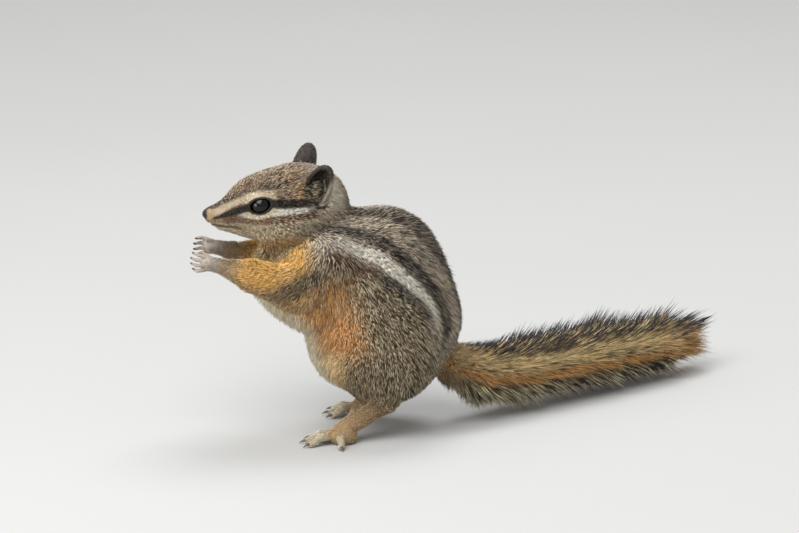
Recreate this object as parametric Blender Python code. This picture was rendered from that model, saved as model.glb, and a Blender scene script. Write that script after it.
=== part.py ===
"""A chipmunk sitting up on its hind feet with both hands before its mouth, life size.

The animal faces -X, its left side is towards -Y and the floor is at z = 0. The origin is the
flat under the ball of its left hind foot. Sizes are written in millimetres and the finished
meshes are scaled to metres.
"""

import itertools
import math
import random

import bmesh
import bpy
import numpy as np
from mathutils import Matrix, Vector

MM = 0.001
GAP = 0.3  # between neighbours that touch
LEFT, RIGHT = 1, -1

# Where the trunk's middle plane lies: its y at x = 10, and how much y grows with each mm of x.
MIDDLE_Y, MIDDLE_SLOPE = 14.0, 0.1

# The head's own frame: forward, left and up from the middle of the skull.
HEAD_AT = Vector((-15.4, 9.0, 63.4))
HEAD_YAW, HEAD_PITCH, HEAD_ROLL = 17.0, 4.5, 0.0


def middle_y(x):
    """The y of the trunk's middle plane."""
    return MIDDLE_Y + MIDDLE_SLOPE * (x - 10)


def head_frame():
    """Columns are the head's forward, left and up directions in the row frame."""
    yaw, pitch, roll = (math.radians(a) for a in (HEAD_YAW, HEAD_PITCH, HEAD_ROLL))
    facing = Matrix(((-1, 0, 0), (0, -1, 0), (0, 0, 1)))
    turn = Matrix.Rotation(yaw, 3, "Z") @ facing
    return turn @ Matrix.Rotation(pitch, 3, "Y") @ Matrix.Rotation(-roll, 3, "X")


HEAD_TURN = head_frame()


def on_head(forward, left, up):
    """A place given in the head's own frame."""
    return HEAD_AT + HEAD_TURN @ Vector((forward, left, up))


def on_trunk(x, left, z):
    """A place beside the trunk's middle plane."""
    return Vector((x, middle_y(x) - left, z))


# Shapes as distances: each function takes points of shape (n, 3) and returns n distances.
def egg(centre, radii, turn=None):
    """An ellipsoid, with its axes along the columns of turn."""
    centre, radii = np.array(centre, float), np.array(radii, float)
    axes = np.eye(3) if turn is None else np.array(turn, float)

    def distance(points):
        local = (points - centre) @ axes
        near = np.linalg.norm(local / radii, axis=1)
        steep = np.linalg.norm(local / radii**2, axis=1)
        return near * (near - 1) / np.maximum(steep, 1e-9)

    return distance


def limb(path, radii, blend=0.0):
    """A chain of round cones through the path, with a radius at each of its points."""
    path = [np.array(p, float) for p in path]

    def distance(points):
        found = None
        for a, b, ra, rb in zip(path, path[1:], radii, radii[1:]):
            along = b - a
            t = np.clip((points - a) @ along / (along @ along), 0, 1)
            d = np.linalg.norm(points - a - t[:, None] * along, axis=1) - (ra + t * (rb - ra))
            found = d if found is None else smooth_union(found, d, blend)
        return found

    return distance


def smooth_union(a, b, reach):
    """The nearer of two distances, rounded where they differ by less than reach."""
    if reach <= 0:
        return np.minimum(a, b)
    h = np.maximum(reach - np.abs(a - b), 0) / reach
    return np.minimum(a, b) - h * h * reach / 4


def pitched(degrees):
    """Axes turned about Y, so that an egg's long side leans in the profile."""
    return Matrix.Rotation(math.radians(degrees), 3, "Y")


def along(direction, up=(0, 0, 1)):
    """Axes with the first one along direction and the third as near to up as it can be."""
    first = Vector(direction).normalized()
    second = Vector(up).cross(first).normalized()
    return Matrix((first, second, first.cross(second))).transposed()


def past(place, direction):
    """The distance from all that lies past a plane: below zero there, above zero before it."""
    place, way = np.array(place, float), np.array(Vector(direction).normalized())
    return lambda points: (place - points) @ way


def blended(*shape_lists):
    """One distance for all (shape, blend) pairs, each rounded into those before it."""
    pairs = [pair for shapes in shape_lists for pair in shapes]

    def distance(points):
        found = None
        for shape, blend in pairs:
            d = shape(points)
            found = d if found is None else smooth_union(found, d, blend)
        return found

    return distance


def both(*fields):
    """Where all the fields overlap."""
    return lambda points: np.max([field(points) for field in fields], axis=0)


def clear_of(field, gap=GAP):
    """All that lies at least the gap outside the field."""
    return lambda points: gap - field(points)


def trunk_shapes():
    """The trunk, from the haunches to the neck."""
    yield egg(on_trunk(12.2, 0, 29.0), (18.6, 17.0, 19.2), pitched(-8)), 0
    yield egg(on_trunk(8.8, 0, 43.2), (17.0, 15.0, 17.8), pitched(-25)), 7
    yield egg(on_trunk(-8.6, 0, 41.5), (17.5, 12.5, 11.2), pitched(34)), 6
    yield egg(on_trunk(3.4, 0, 26.0), (10.5, 12.5, 13.0), pitched(-25)), 6
    neck = [on_head(-8, 0, -3.5), on_trunk(-3.0, 0, 49.0), on_trunk(2.0, 0, 44.0)]
    yield limb(neck, (9.0, 10.5, 11.0), 4), 6


def head_shapes():
    """The skull, face, muzzle, jaw and cheeks."""
    yield egg(on_head(-2.8, 0, 1.2), (12.2, 9.8, 9.2), HEAD_TURN), 6
    yield egg(on_head(6.5, 0, 0.8), (9.0, 7.6, 8.0), HEAD_TURN), 4
    yield limb([on_head(9.5, 0, -0.4), on_head(19.6, 0, -0.1)], (6.8, 2.4)), 3
    yield limb([on_head(8.0, 0, -4.0), on_head(17.2, 0, -2.9)], (4.6, 2.0)), 2
    for side in (LEFT, RIGHT):
        yield egg(on_head(1.0, side * 5.2, -4.0), (9.0, 5.8, 6.0), HEAD_TURN), 4


# Joints of each arm, from the shoulder to the middle of the palm.
SHOULDER, ELBOW, WRIST, PALM = range(4)
SHOULDER_AT = (-4.0, 9.0, 50.0)


def arm_joints(side, *further):
    x, left, z = SHOULDER_AT
    return on_trunk(x, side * left, z), *map(Vector, further)


ARM = {
    LEFT: arm_joints(LEFT, (-12.5, 0, 42.5), (-33, 2, 48.2), (-35.4, 2.2, 48.7)),
    RIGHT: arm_joints(RIGHT, (-13, 22, 42), (-32.6, 9.8, 51), (-34.9, 8.6, 51.7)),
}
SHOULDER_RADIUS, ELBOW_RADIUS, FOREARM_RADIUS, WRIST_RADIUS = 8.0, 6.4, 4.6, 1.9
ELBOW_CUT = 2.0  # how far past the elbow the forearm begins

# Joints of each leg, from the hip to the ball of the foot.
HIP, KNEE, HEEL, BALL = range(4)
LEG = {
    LEFT: tuple(map(Vector, ((15.5, 6, 25.5), (4.5, 2, 21), (10.5, 3, 10.5), (-0.8, 0, 3)))),
    RIGHT: tuple(map(Vector, ((17.5, 22.5, 25.5), (8.5, 26, 21), (16, 24, 10.5), (4.8, 26, 3)))),
}
THIGH_RADII = (13.0, 8.5, 14.0)
HEEL_RADIUS, BALL_RADIUS = 3.0, 2.3


def arm_shapes():
    """The upper arms."""
    for shoulder, elbow, _, _ in ARM.values():
        yield limb([shoulder, elbow], (SHOULDER_RADIUS, ELBOW_RADIUS)), 5


def leg_shapes():
    """The thighs and shanks."""
    for hip, knee, heel, _ in LEG.values():
        yield egg(hip.lerp(knee, 0.4), THIGH_RADII, pitched(-20)), 6
        yield limb([knee, heel], (6.0, 3.4)), 4


def forearm_shape(side):
    """The forearm from just past the elbow to the wrist."""
    _, elbow, wrist, palm = ARM[side]
    radii = (ELBOW_RADIUS, FOREARM_RADIUS, WRIST_RADIUS, WRIST_RADIUS)
    way = (wrist - elbow).normalized()
    whole = limb([elbow, elbow.lerp(wrist, 0.55), wrist, palm], radii, 1)
    return both(whole, past(elbow + way * ELBOW_CUT, way), past(wrist - way * GAP / 2, -way))


SKULL = blended(trunk_shapes(), head_shapes())
BODY = blended(trunk_shapes(), head_shapes(), arm_shapes(), leg_shapes())


def onto(field, place, height=0.0, step=0.05):
    """The place moved along the field's slope until it lies that high over the surface."""
    place = np.array(place, float)
    for _ in range(4):
        near = np.vstack([place, place + np.eye(3) * step, place - np.eye(3) * step])
        d = field(near)
        slope = (d[1:4] - d[4:7]) / (2 * step)
        place = place - slope * (d[0] - height) / (slope @ slope)
    return Vector(place)


# The eyes, and the lids as a ball round each with an opening that is wider than it is high.
EYE_AT, EYE_RADIUS, EYE_GAP = (7.9, 5.4, 2.0), 2.75, 0.2
EYE_LOOKS, LID_THICKNESS, LID_OPENING = (0.3, 1.0, 0.16), 0.6, (2.5, 1.95)


def eye_place(side):
    return on_head(EYE_AT[0], side * EYE_AT[1], EYE_AT[2])


def lid_opening(side):
    """The space before the eye that the lids leave open."""
    look = HEAD_TURN @ Vector((EYE_LOOKS[0], side * EYE_LOOKS[1], EYE_LOOKS[2]))
    centre, axes = np.array(eye_place(side)), np.array(along(look, HEAD_TURN.col[2]))

    def distance(points):
        out, back, up = ((points - centre) @ axes).T
        wide, high = LID_OPENING
        return np.maximum((np.hypot(back / wide, up / high) - 1) * high, -out)

    return distance


NOSE_AT, NOSE_RADII = (21.0, 0, 0.3), (1.5, 1.6, 1.3)
NOSTRIL_AT, NOSTRIL_RADII = (22.1, 0.95, 0.1), (0.9, 0.5, 0.55)
# One side of the mouth, from the middle of the lips to its corner, and the lips' thickness.
MOUTH = ((20.6, 0, -2.0), (18.8, 1.6, -2.9), (16.6, 3.2, -3.5), (14.0, 4.6, -4.3))
LIP_RADIUS, LIP_SUNK, MOUTH_GAP_RADIUS, MOUTH_GAP_HEIGHT = 0.95, 0.6, 0.6, 0.3


def head_shape():
    """The head with its nose, nostrils, lips, mouth, lids and eye sockets."""
    raised, hollows = [(egg(on_head(*NOSE_AT), NOSE_RADII, HEAD_TURN), 0.6)], []
    for side in (LEFT, RIGHT):
        socket = EYE_RADIUS + EYE_GAP
        raised.append((egg(eye_place(side), [socket + LID_THICKNESS] * 3), 1.0))
        hollows.append(egg(eye_place(side), [socket] * 3))
        hollows.append(lid_opening(side))
        path = [onto(SKULL, on_head(f, side * left, up)) for f, left, up in MOUTH]
        sunk = [p - (p - HEAD_AT).normalized() * LIP_SUNK for p in path]
        raised.append((limb(sunk, [LIP_RADIUS] * len(path)), 0.6))
        outer = [onto(SKULL, p, MOUTH_GAP_HEIGHT) for p in path]
        hollows.append(limb(outer, [MOUTH_GAP_RADIUS] * len(path)))
        forward, left, up = NOSTRIL_AT
        hollows.append(egg(on_head(forward, side * left, up), NOSTRIL_RADII, HEAD_TURN))
    solid = blended([(SKULL, 0)], raised)
    return both(solid, *[clear_of(hollow, 0) for hollow in hollows])


# The ears: cups open outwards and forwards. Each is the back half of a shell. The right one is
# held a little higher.
EAR_AT = {LEFT: (-7.2, 8.4, 5.2), RIGHT: (-8.0, 8.4, 6.8)}
EAR_RADII, EAR_THICKNESS = (3.2, 3.7, 6.6), 0.95
EAR_OPENS, EAR_STANDS, EAR_DEPTH = (0.5, 0.85, 0.12), (-0.57, 0.2, 1.0), 0.9
EAR_GAP = 0.4


def ear_place(side):
    forward, left, up = EAR_AT[side]
    return on_head(forward, side * left, up)


def ear_shape(side):
    centre = ear_place(side)
    opens = HEAD_TURN @ Vector((EAR_OPENS[0], side * EAR_OPENS[1], EAR_OPENS[2]))
    stands = HEAD_TURN @ Vector((EAR_STANDS[0], side * EAR_STANDS[1], EAR_STANDS[2]))
    axes = along(opens, stands)
    inner = [r - EAR_THICKNESS for r in EAR_RADII]
    rim = past(centre + opens.normalized() * EAR_DEPTH, -opens)
    shell = both(egg(centre, EAR_RADII, axes), clear_of(egg(centre, inner, axes), 0))
    return both(shell, rim, clear_of(SKULL, EAR_GAP))


# The hands. Four fingers lie one above the other and curl inwards, with claws at their tips.
FINGER_LENGTHS, FINGER_SPACING = (3.0, 3.4, 3.3, 2.7), 1.2
FINGER_RADII, FINGER_CURL = (0.72, 0.64, 0.52), 1.3
CLAW_RADII, HAND_CLAW = (0.34, 0.16), 0.9


def hand_shapes(side):
    """The palm, thumb, fingers and claws."""
    _, elbow, wrist, palm = ARM[side]
    axes = along(Vector((-1, 0, 0)) + (wrist - elbow).normalized() * 0.3)

    def at(forward, out, up):
        return palm + axes @ Vector((forward, side * out, up))

    yield limb([elbow.lerp(wrist, 0.55), wrist, palm], (FOREARM_RADIUS, WRIST_RADIUS, WRIST_RADIUS), 1), 0
    yield egg(palm, (2.3, 1.5, 2.3), axes), 1.0
    for n, length in enumerate(FINGER_LENGTHS):
        up = (1.5 - n) * FINGER_SPACING
        tip = at(1.0 + length * 0.9, -FINGER_CURL * 0.7, up)
        yield limb([at(1.0, 0.2, up * 0.85), at(1.0 + length * 0.5, 0.25, up), tip], FINGER_RADII, 0.3), 0.2
        claw = at(1.0 + length * 0.9 + HAND_CLAW * 0.7, -FINGER_CURL * 0.7 - HAND_CLAW * 0.7, up)
        yield limb([tip, claw], CLAW_RADII), 0.1
    yield limb([at(0.2, -0.8, 1.6), at(1.4, -1.7, 2.2)], (0.75, 0.5)), 0.4


# The feet. For each toe, how far it reaches ahead of the ball and to the foot's outer side.
TOES = ((3.2, -4.8), (8.2, -2.8), (9.2, 0.6), (8.3, 4.4), (-0.6, 7.4))
TOE_RADII, TOE_PAD_Z, KNUCKLE_Z = (1.3, 1.1, 1.0), 0.85, 2.3
SOLE_AT, SOLE_RADII = Vector((0.8, 0, 1.9)), (3.7, 3.2, 2.2)
FOOT_CLAW = 1.8


def foot_shapes(side):
    """The foot from the heel to its claws."""
    _, _, heel, ball = LEG[side]
    yield limb([heel, ball], (HEEL_RADIUS, BALL_RADIUS)), 0
    sole = Vector((ball.x, ball.y, 0)) + SOLE_AT
    yield egg(sole, SOLE_RADII), 1.5
    for ahead, out in TOES:
        way = Vector((-ahead, -side * out, 0))
        length = way.length
        way.normalize()
        root = ball + way * 1.3
        root.z = 2.2
        knuckle = ball + way * length * 0.6
        knuckle.z = KNUCKLE_Z
        tip = ball + way * (length - 0.9)
        tip.z = TOE_PAD_Z
        yield limb([root, knuckle, tip], TOE_RADII, 0.4), 0.6
        claw = tip + way * (FOOT_CLAW + 0.6)
        claw.z = 0.35
        yield limb([tip + Vector((0, 0, 0.3)), claw], (0.5, 0.2)), 0.1


# The tail: places along its axis from the rump, and the coat's upright radius at each of them.
TAIL_PATH = (
    (25.0, 12.6, 21.0),
    (28.9, 16.0, 17.9),
    (36.0, 22.2, 13.8),
    (46.9, 31.1, 12.0),
    (68.0, 48.8, 11.0),
    (84.0, 62.2, 10.0),
    (92.0, 68.9, 9.6),
)
TAIL_RADII = (5.0, 7.2, 9.6, 11.2, 11.4, 10.2, 6.0)
TAIL_FLATNESS = 0.8  # the coat's width over its height
CORE_SHARE = 0.45  # the core's radius over the coat's
TAIL_LENGTHS, RINGS_PER_LENGTH, FIRST_RING, LAST_RING = 4, 4, 8.0, 82.0

# A lock: how steeply it leaves the axis and how flat it ends, in degrees, and its shape on the way.
LOCK_STEEP, LOCK_FLAT = 56.0, 20.0
LOCK_ROOT, LOCK_STEPS = 0.2, (0.0, 0.36, 0.74)  # shares of the coat's radius and the lock's length
LOCK_WIDTHS, LOCK_THICKNESSES = (1.4, 3.9, 4.4), (1.2, 1.0, 0.8)
LOCKS_IN_RING, LOCK_SEED = 8, 5
# The tuft at the tail's tip: locks that leave the axis less and less steeply.
TUFT_SLOPES, TUFT_REACHES = ((34.0, 8.0), (18.0, 3.0)), (6.6, 3.2)
TUFT_LOCKS, TUFT_SPACING = 6, 3.0


def tail_at(run):
    """(place, axes, coat radius) at a length along the tail. The axes are back, left and up."""
    path = [Vector(p) for p in TAIL_PATH]
    steps = [(b - a).length for a, b in zip(path, path[1:])]
    at = 0
    while at < len(steps) - 1 and run > steps[at]:
        run -= steps[at]
        at += 1
    t = run / steps[at]
    before_it, past_it = path[max(at - 1, 0)], path[min(at + 2, len(path) - 1)]
    way = (path[at + 1] - before_it).lerp(past_it - path[at], min(t, 1))
    radius = TAIL_RADII[at] + (TAIL_RADII[at + 1] - TAIL_RADII[at]) * min(t, 1)
    return path[at].lerp(path[at + 1], t), along(way), radius


def tail_cut(length):
    """The cone that opens backwards between one of the tail's lengths and the next."""
    run = FIRST_RING + (LAST_RING - FIRST_RING) * (length * RINGS_PER_LENGTH - 0.5) / (
        TAIL_LENGTHS * RINGS_PER_LENGTH - 1
    )
    place, axes, _ = tail_at(run - 2.5)
    place, way = np.array(place), np.array(axes.col[0])
    slope = math.radians((LOCK_STEEP + LOCK_FLAT) / 2)

    def distance(points):
        run_out = (points - place) @ way
        out = np.linalg.norm(points - place - run_out[:, None] * way, axis=1)
        return out * math.cos(slope) - run_out * math.sin(slope)

    return distance


def core_shape():
    """The tail's flesh with the densest part of its coat."""
    return limb([Vector(p) for p in TAIL_PATH], [r * CORE_SHARE for r in TAIL_RADII], 2)


def lock_mesh(run, angle, reach, steep=LOCK_STEEP, flat=LOCK_FLAT):
    """(points, faces) of one flat lock that bends back along the tail and tapers to its tip."""
    place, axes, radius = tail_at(run)
    back = axes.col[0]
    out = axes @ Vector((0, math.sin(angle) * TAIL_FLATNESS, math.cos(angle)))
    beside = axes @ Vector((0, math.cos(angle), -math.sin(angle)))
    start, share = LOCK_ROOT * reach, min(1, radius / 9)
    stops = (*LOCK_STEPS, 1)
    slopes = [math.radians(steep + (flat - steep) * t) for t in stops]
    middles = [(a + b) / 2 for a, b in zip(slopes, slopes[1:])]
    parts = [b - a for a, b in zip(stops, stops[1:])]
    length = (reach - start) / sum(part * math.sin(m) for part, m in zip(parts, middles))
    points, at = [], place + out * start
    for n, (wide, thick) in enumerate(zip(LOCK_WIDTHS, LOCK_THICKNESSES)):
        normal = (out.normalized() * math.cos(slopes[n]) - back * math.sin(slopes[n])).normalized()
        across, through = beside * wide * share / 2, normal * thick / 2
        points += [at + across, at + through, at - across, at - through]
        at = at + (back * math.cos(middles[n]) + out * math.sin(middles[n])) * parts[n] * length
    points.append(at)
    last = len(LOCK_STEPS) - 1
    faces = [(3, 2, 1, 0)]
    for n in range(0, 4 * last, 4):
        faces += [(n + k, n + (k + 1) % 4, n + 4 + (k + 1) % 4, n + 4 + k) for k in range(4)]
    faces += [(4 * last + k, 4 * last + (k + 1) % 4, 4 * last + 4) for k in range(4)]
    return points, faces


def locks_of(length):
    """The locks of one of the tail's lengths, ring by ring, each ring turned against the last."""
    draw = random.Random(LOCK_SEED + length)
    spacing = (LAST_RING - FIRST_RING) / (TAIL_LENGTHS * RINGS_PER_LENGTH - 1)
    for ring in range(length * RINGS_PER_LENGTH, (length + 1) * RINGS_PER_LENGTH):
        for n in range(LOCKS_IN_RING):
            angle = 2 * math.pi * (n + 0.5 * (ring % 2) + draw.uniform(-0.12, 0.12)) / LOCKS_IN_RING
            run = FIRST_RING + spacing * (ring + (n % 2) * 0.3 + draw.uniform(-0.05, 0.05))
            yield lock_mesh(run, angle, tail_at(run)[2] * draw.uniform(0.93, 1.05))
    if length == TAIL_LENGTHS - 1:
        for ring, ((steep, flat), reach) in enumerate(zip(TUFT_SLOPES, TUFT_REACHES)):
            for n in range(TUFT_LOCKS):
                angle = 2 * math.pi * (n + 0.5 * ring) / TUFT_LOCKS
                yield lock_mesh(LAST_RING + TUFT_SPACING * (ring + 1), angle, reach, steep, flat)


def sampled(field, low, high, step, block=12):
    """The field on a grid. Blocks that lie well off the surface take their centre's value."""
    counts = [int(math.ceil((h - l) / step / block)) * block for l, h in zip(low, high)]
    values = np.empty(counts)
    steps = np.arange(block) * step
    local = np.stack(np.meshgrid(steps, steps, steps, indexing="ij"), -1).reshape(-1, 3)
    starts = [np.arange(0, n, block) for n in counts]
    corners = np.stack(np.meshgrid(*starts, indexing="ij"), -1).reshape(-1, 3)
    origin = np.array(low, float)
    centres = field(origin + (corners + (block - 1) / 2) * step)
    reach = block * step * 1.1
    for corner, middle in zip(corners, centres):
        i, j, k = corner
        if abs(middle) > reach:
            values[i : i + block, j : j + block, k : k + block] = middle
            continue
        d = field(origin + corner * step + local)
        values[i : i + block, j : j + block, k : k + block] = d.reshape((block,) * 3)
    return values


def contoured(field, low, high, step):
    """(points, triangles) where the field is zero, found in the six tetrahedra of each grid cube.

    The surface never touches itself, however thin the shape is.
    """
    values = sampled(field, low, high, step)
    inside = values < 0
    strides = np.array([values.shape[1] * values.shape[2], values.shape[2], 1])
    near = sum(
        inside[i : i - 1 or None, j : j - 1 or None, k : k - 1 or None].astype(int)
        for i, j, k in itertools.product((0, 1), repeat=3)
    )
    base = np.argwhere((near > 0) & (near < 8)) @ strides
    crossings = []
    for order in itertools.permutations(range(3)):
        corners = base[:, None] + np.concatenate([[0], np.cumsum(strides[list(order)])])
        code = (inside.ravel()[corners] * (1, 2, 4, 8)).sum(1)
        for pattern in range(1, 15):
            found = corners[code == pattern]
            inner = [n for n in range(4) if pattern >> n & 1]
            outer = [n for n in range(4) if not pattern >> n & 1]
            if len(inner) == 2:
                (a, b), (c, d) = inner, outer
                triangles = [((a, c), (a, d), (b, d)), ((a, c), (b, d), (b, c))]
            else:
                triangles = [[(a, b) for a in inner for b in outer]]
            crossings += [found[:, np.array(triangle)] for triangle in triangles]
    crossings = np.concatenate(crossings)
    edges, index = np.unique(crossings.reshape(-1, 2), axis=0, return_inverse=True)
    ends = np.stack(np.unravel_index(edges, values.shape), -1)
    inner_value, outer_value = values.ravel()[edges].T
    t = np.clip(inner_value / (inner_value - outer_value), 0.03, 0.97)[:, None]
    points = ends[:, 0] * (1 - t) + ends[:, 1] * t
    triangles = index.reshape(-1, 3)
    a, b, c = (points[triangles[:, n]] for n in range(3))
    outward = (ends[index.reshape(-1, 3), 1] - ends[index.reshape(-1, 3), 0]).sum(1)
    wrong = (np.cross(b - a, c - a) * outward).sum(1) < 0
    triangles[wrong] = triangles[wrong][:, ::-1]
    return np.array(low, float) + points * step, triangles


def painted(obj, colour, roughness=0.8):
    """Gives the object a plain material of its own."""
    material = bpy.data.materials.new(obj.name)
    material.use_nodes = True
    shader = material.node_tree.nodes["Principled BSDF"]
    shader.inputs["Base Color"].default_value = (*colour, 1)
    shader.inputs["Roughness"].default_value = roughness
    obj.data.materials.clear()
    obj.data.materials.append(material)
    return obj


def placed(name, mesh):
    obj = bpy.data.objects.new(name, mesh)
    bpy.context.scene.collection.objects.link(obj)
    return obj


def applied(obj):
    """The object with its modifiers applied to its mesh."""
    graph = bpy.context.evaluated_depsgraph_get()
    mesh = bpy.data.meshes.new_from_object(obj.evaluated_get(graph))
    obj.modifiers.clear()
    obj.data = mesh
    return obj


def largest(obj):
    """The object with only its largest closed surface."""
    shape = bmesh.new()
    shape.from_mesh(obj.data)
    unseen, groups = set(shape.faces), []
    while unseen:
        group = [unseen.pop()]
        for face in group:
            near = {other for edge in face.edges for other in edge.link_faces} & unseen
            unseen -= near
            group += near
        groups.append(group)
    groups.sort(key=len)
    loose = [face for group in groups[:-1] for face in group]
    bmesh.ops.delete(shape, geom=loose, context="FACES")
    shape.to_mesh(obj.data)
    shape.free()
    return obj


FINE_WEIGHT, FINE_FACTOR = 0.5, 0.001


def netted(name, field, box, step, triangles, fine=()):
    """An object of about that many triangles where the field is zero, cut flat at the floor.

    fine lists (place, radius) of spots that keep more of their triangles.
    """
    low, high = (np.array(corner, float) for corner in box)
    floor = past((0, 0, 0), (0, 0, 1))
    points, faces = contoured(both(field, floor), low - 2 * step, high + 2 * step, step)
    mesh = bpy.data.meshes.new(name)
    mesh.from_pydata(points.tolist(), [], faces.tolist())
    obj = placed(name, mesh)
    fewer = obj.modifiers.new("fewer", "DECIMATE")
    fewer.ratio = min(1.0, triangles / len(faces))
    if fine:
        near = np.min([np.linalg.norm(points - place, axis=1) / radius for place, radius in fine], axis=0)
        group = obj.vertex_groups.new(name="coarse")
        group.add(np.flatnonzero(near < 1).tolist(), FINE_WEIGHT, "REPLACE")
        group.add(np.flatnonzero(near >= 1).tolist(), 1.0, "REPLACE")
        fewer.vertex_group = group.name
        fewer.vertex_group_factor = FINE_FACTOR
    applied(obj)
    obj.data.transform(Matrix.Diagonal((MM, MM, MM, 1)))
    return largest(obj)


# Planes and balls that part one node from the next. A plane is a place and the way past it.
NECK_CUT = (Vector((-11.0, 11.8, 57.6)), Vector((-0.5, -0.05, 0.865)).normalized())
CHEST_CUT = (Vector((-5.0, 12.4, 55.1)), Vector((-0.47, 0.0, 0.883)).normalized())
UPPER_ARM_BALL, THIGH_BALL = (11.5, 8.5, 9.0), (15.0, 9.6, 16.0)
FACET_GAP = GAP + 0.25  # to a neighbour whose facets don't lie flat against this one


def before(cut):
    """All that lies before a cutting plane, with half of the gap left free."""
    place, way = cut
    return past(place - way * GAP / 2, -way)


def after(cut):
    place, way = cut
    return past(place + way * GAP / 2, way)


def upper_arm_ball(side, grown=0.0):
    shoulder, elbow = ARM[side][SHOULDER], ARM[side][ELBOW]
    centre = shoulder.lerp(elbow, 0.6) + Vector((0, -side * 3, 0))
    return egg(centre, [r + grown for r in UPPER_ARM_BALL], along(elbow - shoulder))


def thigh_ball(side, grown=0.0):
    centre = LEG[side][HIP].lerp(LEG[side][KNEE], 0.4) + Vector((0.3, -side * 2.2, 0.3))
    return egg(centre, [r + grown for r in THIGH_BALL], pitched(-20))


def clear_of_limbs(side):
    """Fields that keep the trunk clear of one side's arm and leg."""
    arm = [clear_of(forearm_shape(side), FACET_GAP), clear_of(upper_arm_ball(side, FACET_GAP), 0)]
    return arm + [clear_of(thigh_ball(side, FACET_GAP), 0), clear_of(blended(foot_shapes(side)), FACET_GAP)]


# The grid step of each kind of node and about how many triangles it keeps.
HEAD_MESH, NECK_MESH, TORSO_MESH = (0.42, 2800), (1.0, 360), (1.1, 1200)
EAR_MESH, HAND_MESH, FOOT_MESH = (0.4, 400), (0.32, 560), (0.4, 600)
UPPER_ARM_MESH, FOREARM_MESH, THIGH_MESH, CORE_MESH = (0.9, 240), (0.7, 260), (1.0, 420), (0.7, 160)
# How much room the box of each kind of node leaves round the places that it holds.
HEAD_ROOM, NECK_ROOM, EAR_ROOM, UPPER_ARM_ROOM, FOREARM_ROOM = 26, 24, 9, 12, 8
HAND_ROOM, THIGH_ROOM, FOOT_ROOM, CORE_ROOM = 7.5, 18, 12, 8
TORSO_BOX = (-30, -8, 0), (38, 36, 66)
FINE_ROUND_EYE, FINE_ROUND_NOSE = EYE_RADIUS + 1.8, 4.2  # balls in which the face keeps more triangles
FLOOR_SIZE = 150, 120


def box_round(places, margin):
    """The corners of a box that holds the places and a margin round them, down to the floor."""
    low = [min(p[axis] for p in places) - margin for axis in range(3)]
    high = [max(p[axis] for p in places) + margin for axis in range(3)]
    return (low[0], low[1], max(low[2], 0)), high


BROWN, CREAM = (0.3, 0.19, 0.1), (0.62, 0.5, 0.34)
BARE, BLACK = (0.45, 0.33, 0.26), (0.01, 0.009, 0.008)


def head():
    face = [(eye_place(side), FINE_ROUND_EYE) for side in (LEFT, RIGHT)]
    face.append((on_head(*NOSE_AT), FINE_ROUND_NOSE))
    arms = [clear_of(forearm_shape(side), FACET_GAP) for side in (LEFT, RIGHT)]
    field = both(head_shape(), after(NECK_CUT), *arms)
    return painted(netted("head", field, box_round([HEAD_AT], HEAD_ROOM), *HEAD_MESH, face), BROWN)


def neck():
    field = both(BODY, before(NECK_CUT), after(CHEST_CUT), *clear_of_limbs(LEFT), *clear_of_limbs(RIGHT))
    return painted(netted("neck", field, box_round([NECK_CUT[0]], NECK_ROOM), *NECK_MESH), BROWN)


def torso():
    field = both(BODY, before(CHEST_CUT), *clear_of_limbs(LEFT), *clear_of_limbs(RIGHT))
    return painted(netted("torso", field, TORSO_BOX, *TORSO_MESH), BROWN)


def ear(side, name):
    return painted(netted(name, ear_shape(side), box_round([ear_place(side)], EAR_ROOM), *EAR_MESH), BARE)


def eye(side, name):
    ball = bmesh.new()
    place = Matrix.Translation(eye_place(side) * MM)
    bmesh.ops.create_uvsphere(ball, u_segments=18, v_segments=11, radius=EYE_RADIUS * MM, matrix=place)
    mesh = bpy.data.meshes.new(name)
    ball.to_mesh(mesh)
    ball.free()
    mesh.shade_smooth()
    return painted(placed(name, mesh), BLACK, 0.05)


def upper_arm(side, name):
    field = both(BODY, upper_arm_ball(side), before(CHEST_CUT), clear_of(forearm_shape(side), FACET_GAP))
    box = box_round(ARM[side][:WRIST], UPPER_ARM_ROOM)
    return painted(netted(name, field, box, *UPPER_ARM_MESH), BROWN)


def forearm(side, name):
    box = box_round(ARM[side][ELBOW:], FOREARM_ROOM)
    return painted(netted(name, forearm_shape(side), box, *FOREARM_MESH), BROWN)


def hand(side, name):
    wrist = ARM[side][WRIST]
    way = (wrist - ARM[side][ELBOW]).normalized()
    field = both(blended(hand_shapes(side)), after((wrist, way)))
    return painted(netted(name, field, box_round(ARM[side][PALM:], HAND_ROOM), *HAND_MESH), BARE)


def thigh(side, name):
    field = both(BODY, thigh_ball(side), clear_of(blended(foot_shapes(side)), FACET_GAP))
    return painted(netted(name, field, box_round(LEG[side][:HEEL], THIGH_ROOM), *THIGH_MESH), BROWN)


def foot(side, name):
    field = blended(foot_shapes(side))
    return painted(netted(name, field, box_round(LEG[side][HEEL:], FOOT_ROOM), *FOOT_MESH), CREAM)


def closed_mesh(name, points, faces):
    """An object from points in millimetres, with its faces turned outwards."""
    shape = bmesh.new()
    corners = [shape.verts.new(Vector(p) * MM) for p in points]
    for face in faces:
        shape.faces.new([corners[n] for n in face])
    bmesh.ops.triangulate(shape, faces=shape.faces)
    bmesh.ops.recalc_face_normals(shape, faces=shape.faces)
    mesh = bpy.data.meshes.new(name)
    shape.to_mesh(mesh)
    shape.free()
    return placed(name, mesh)


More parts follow.
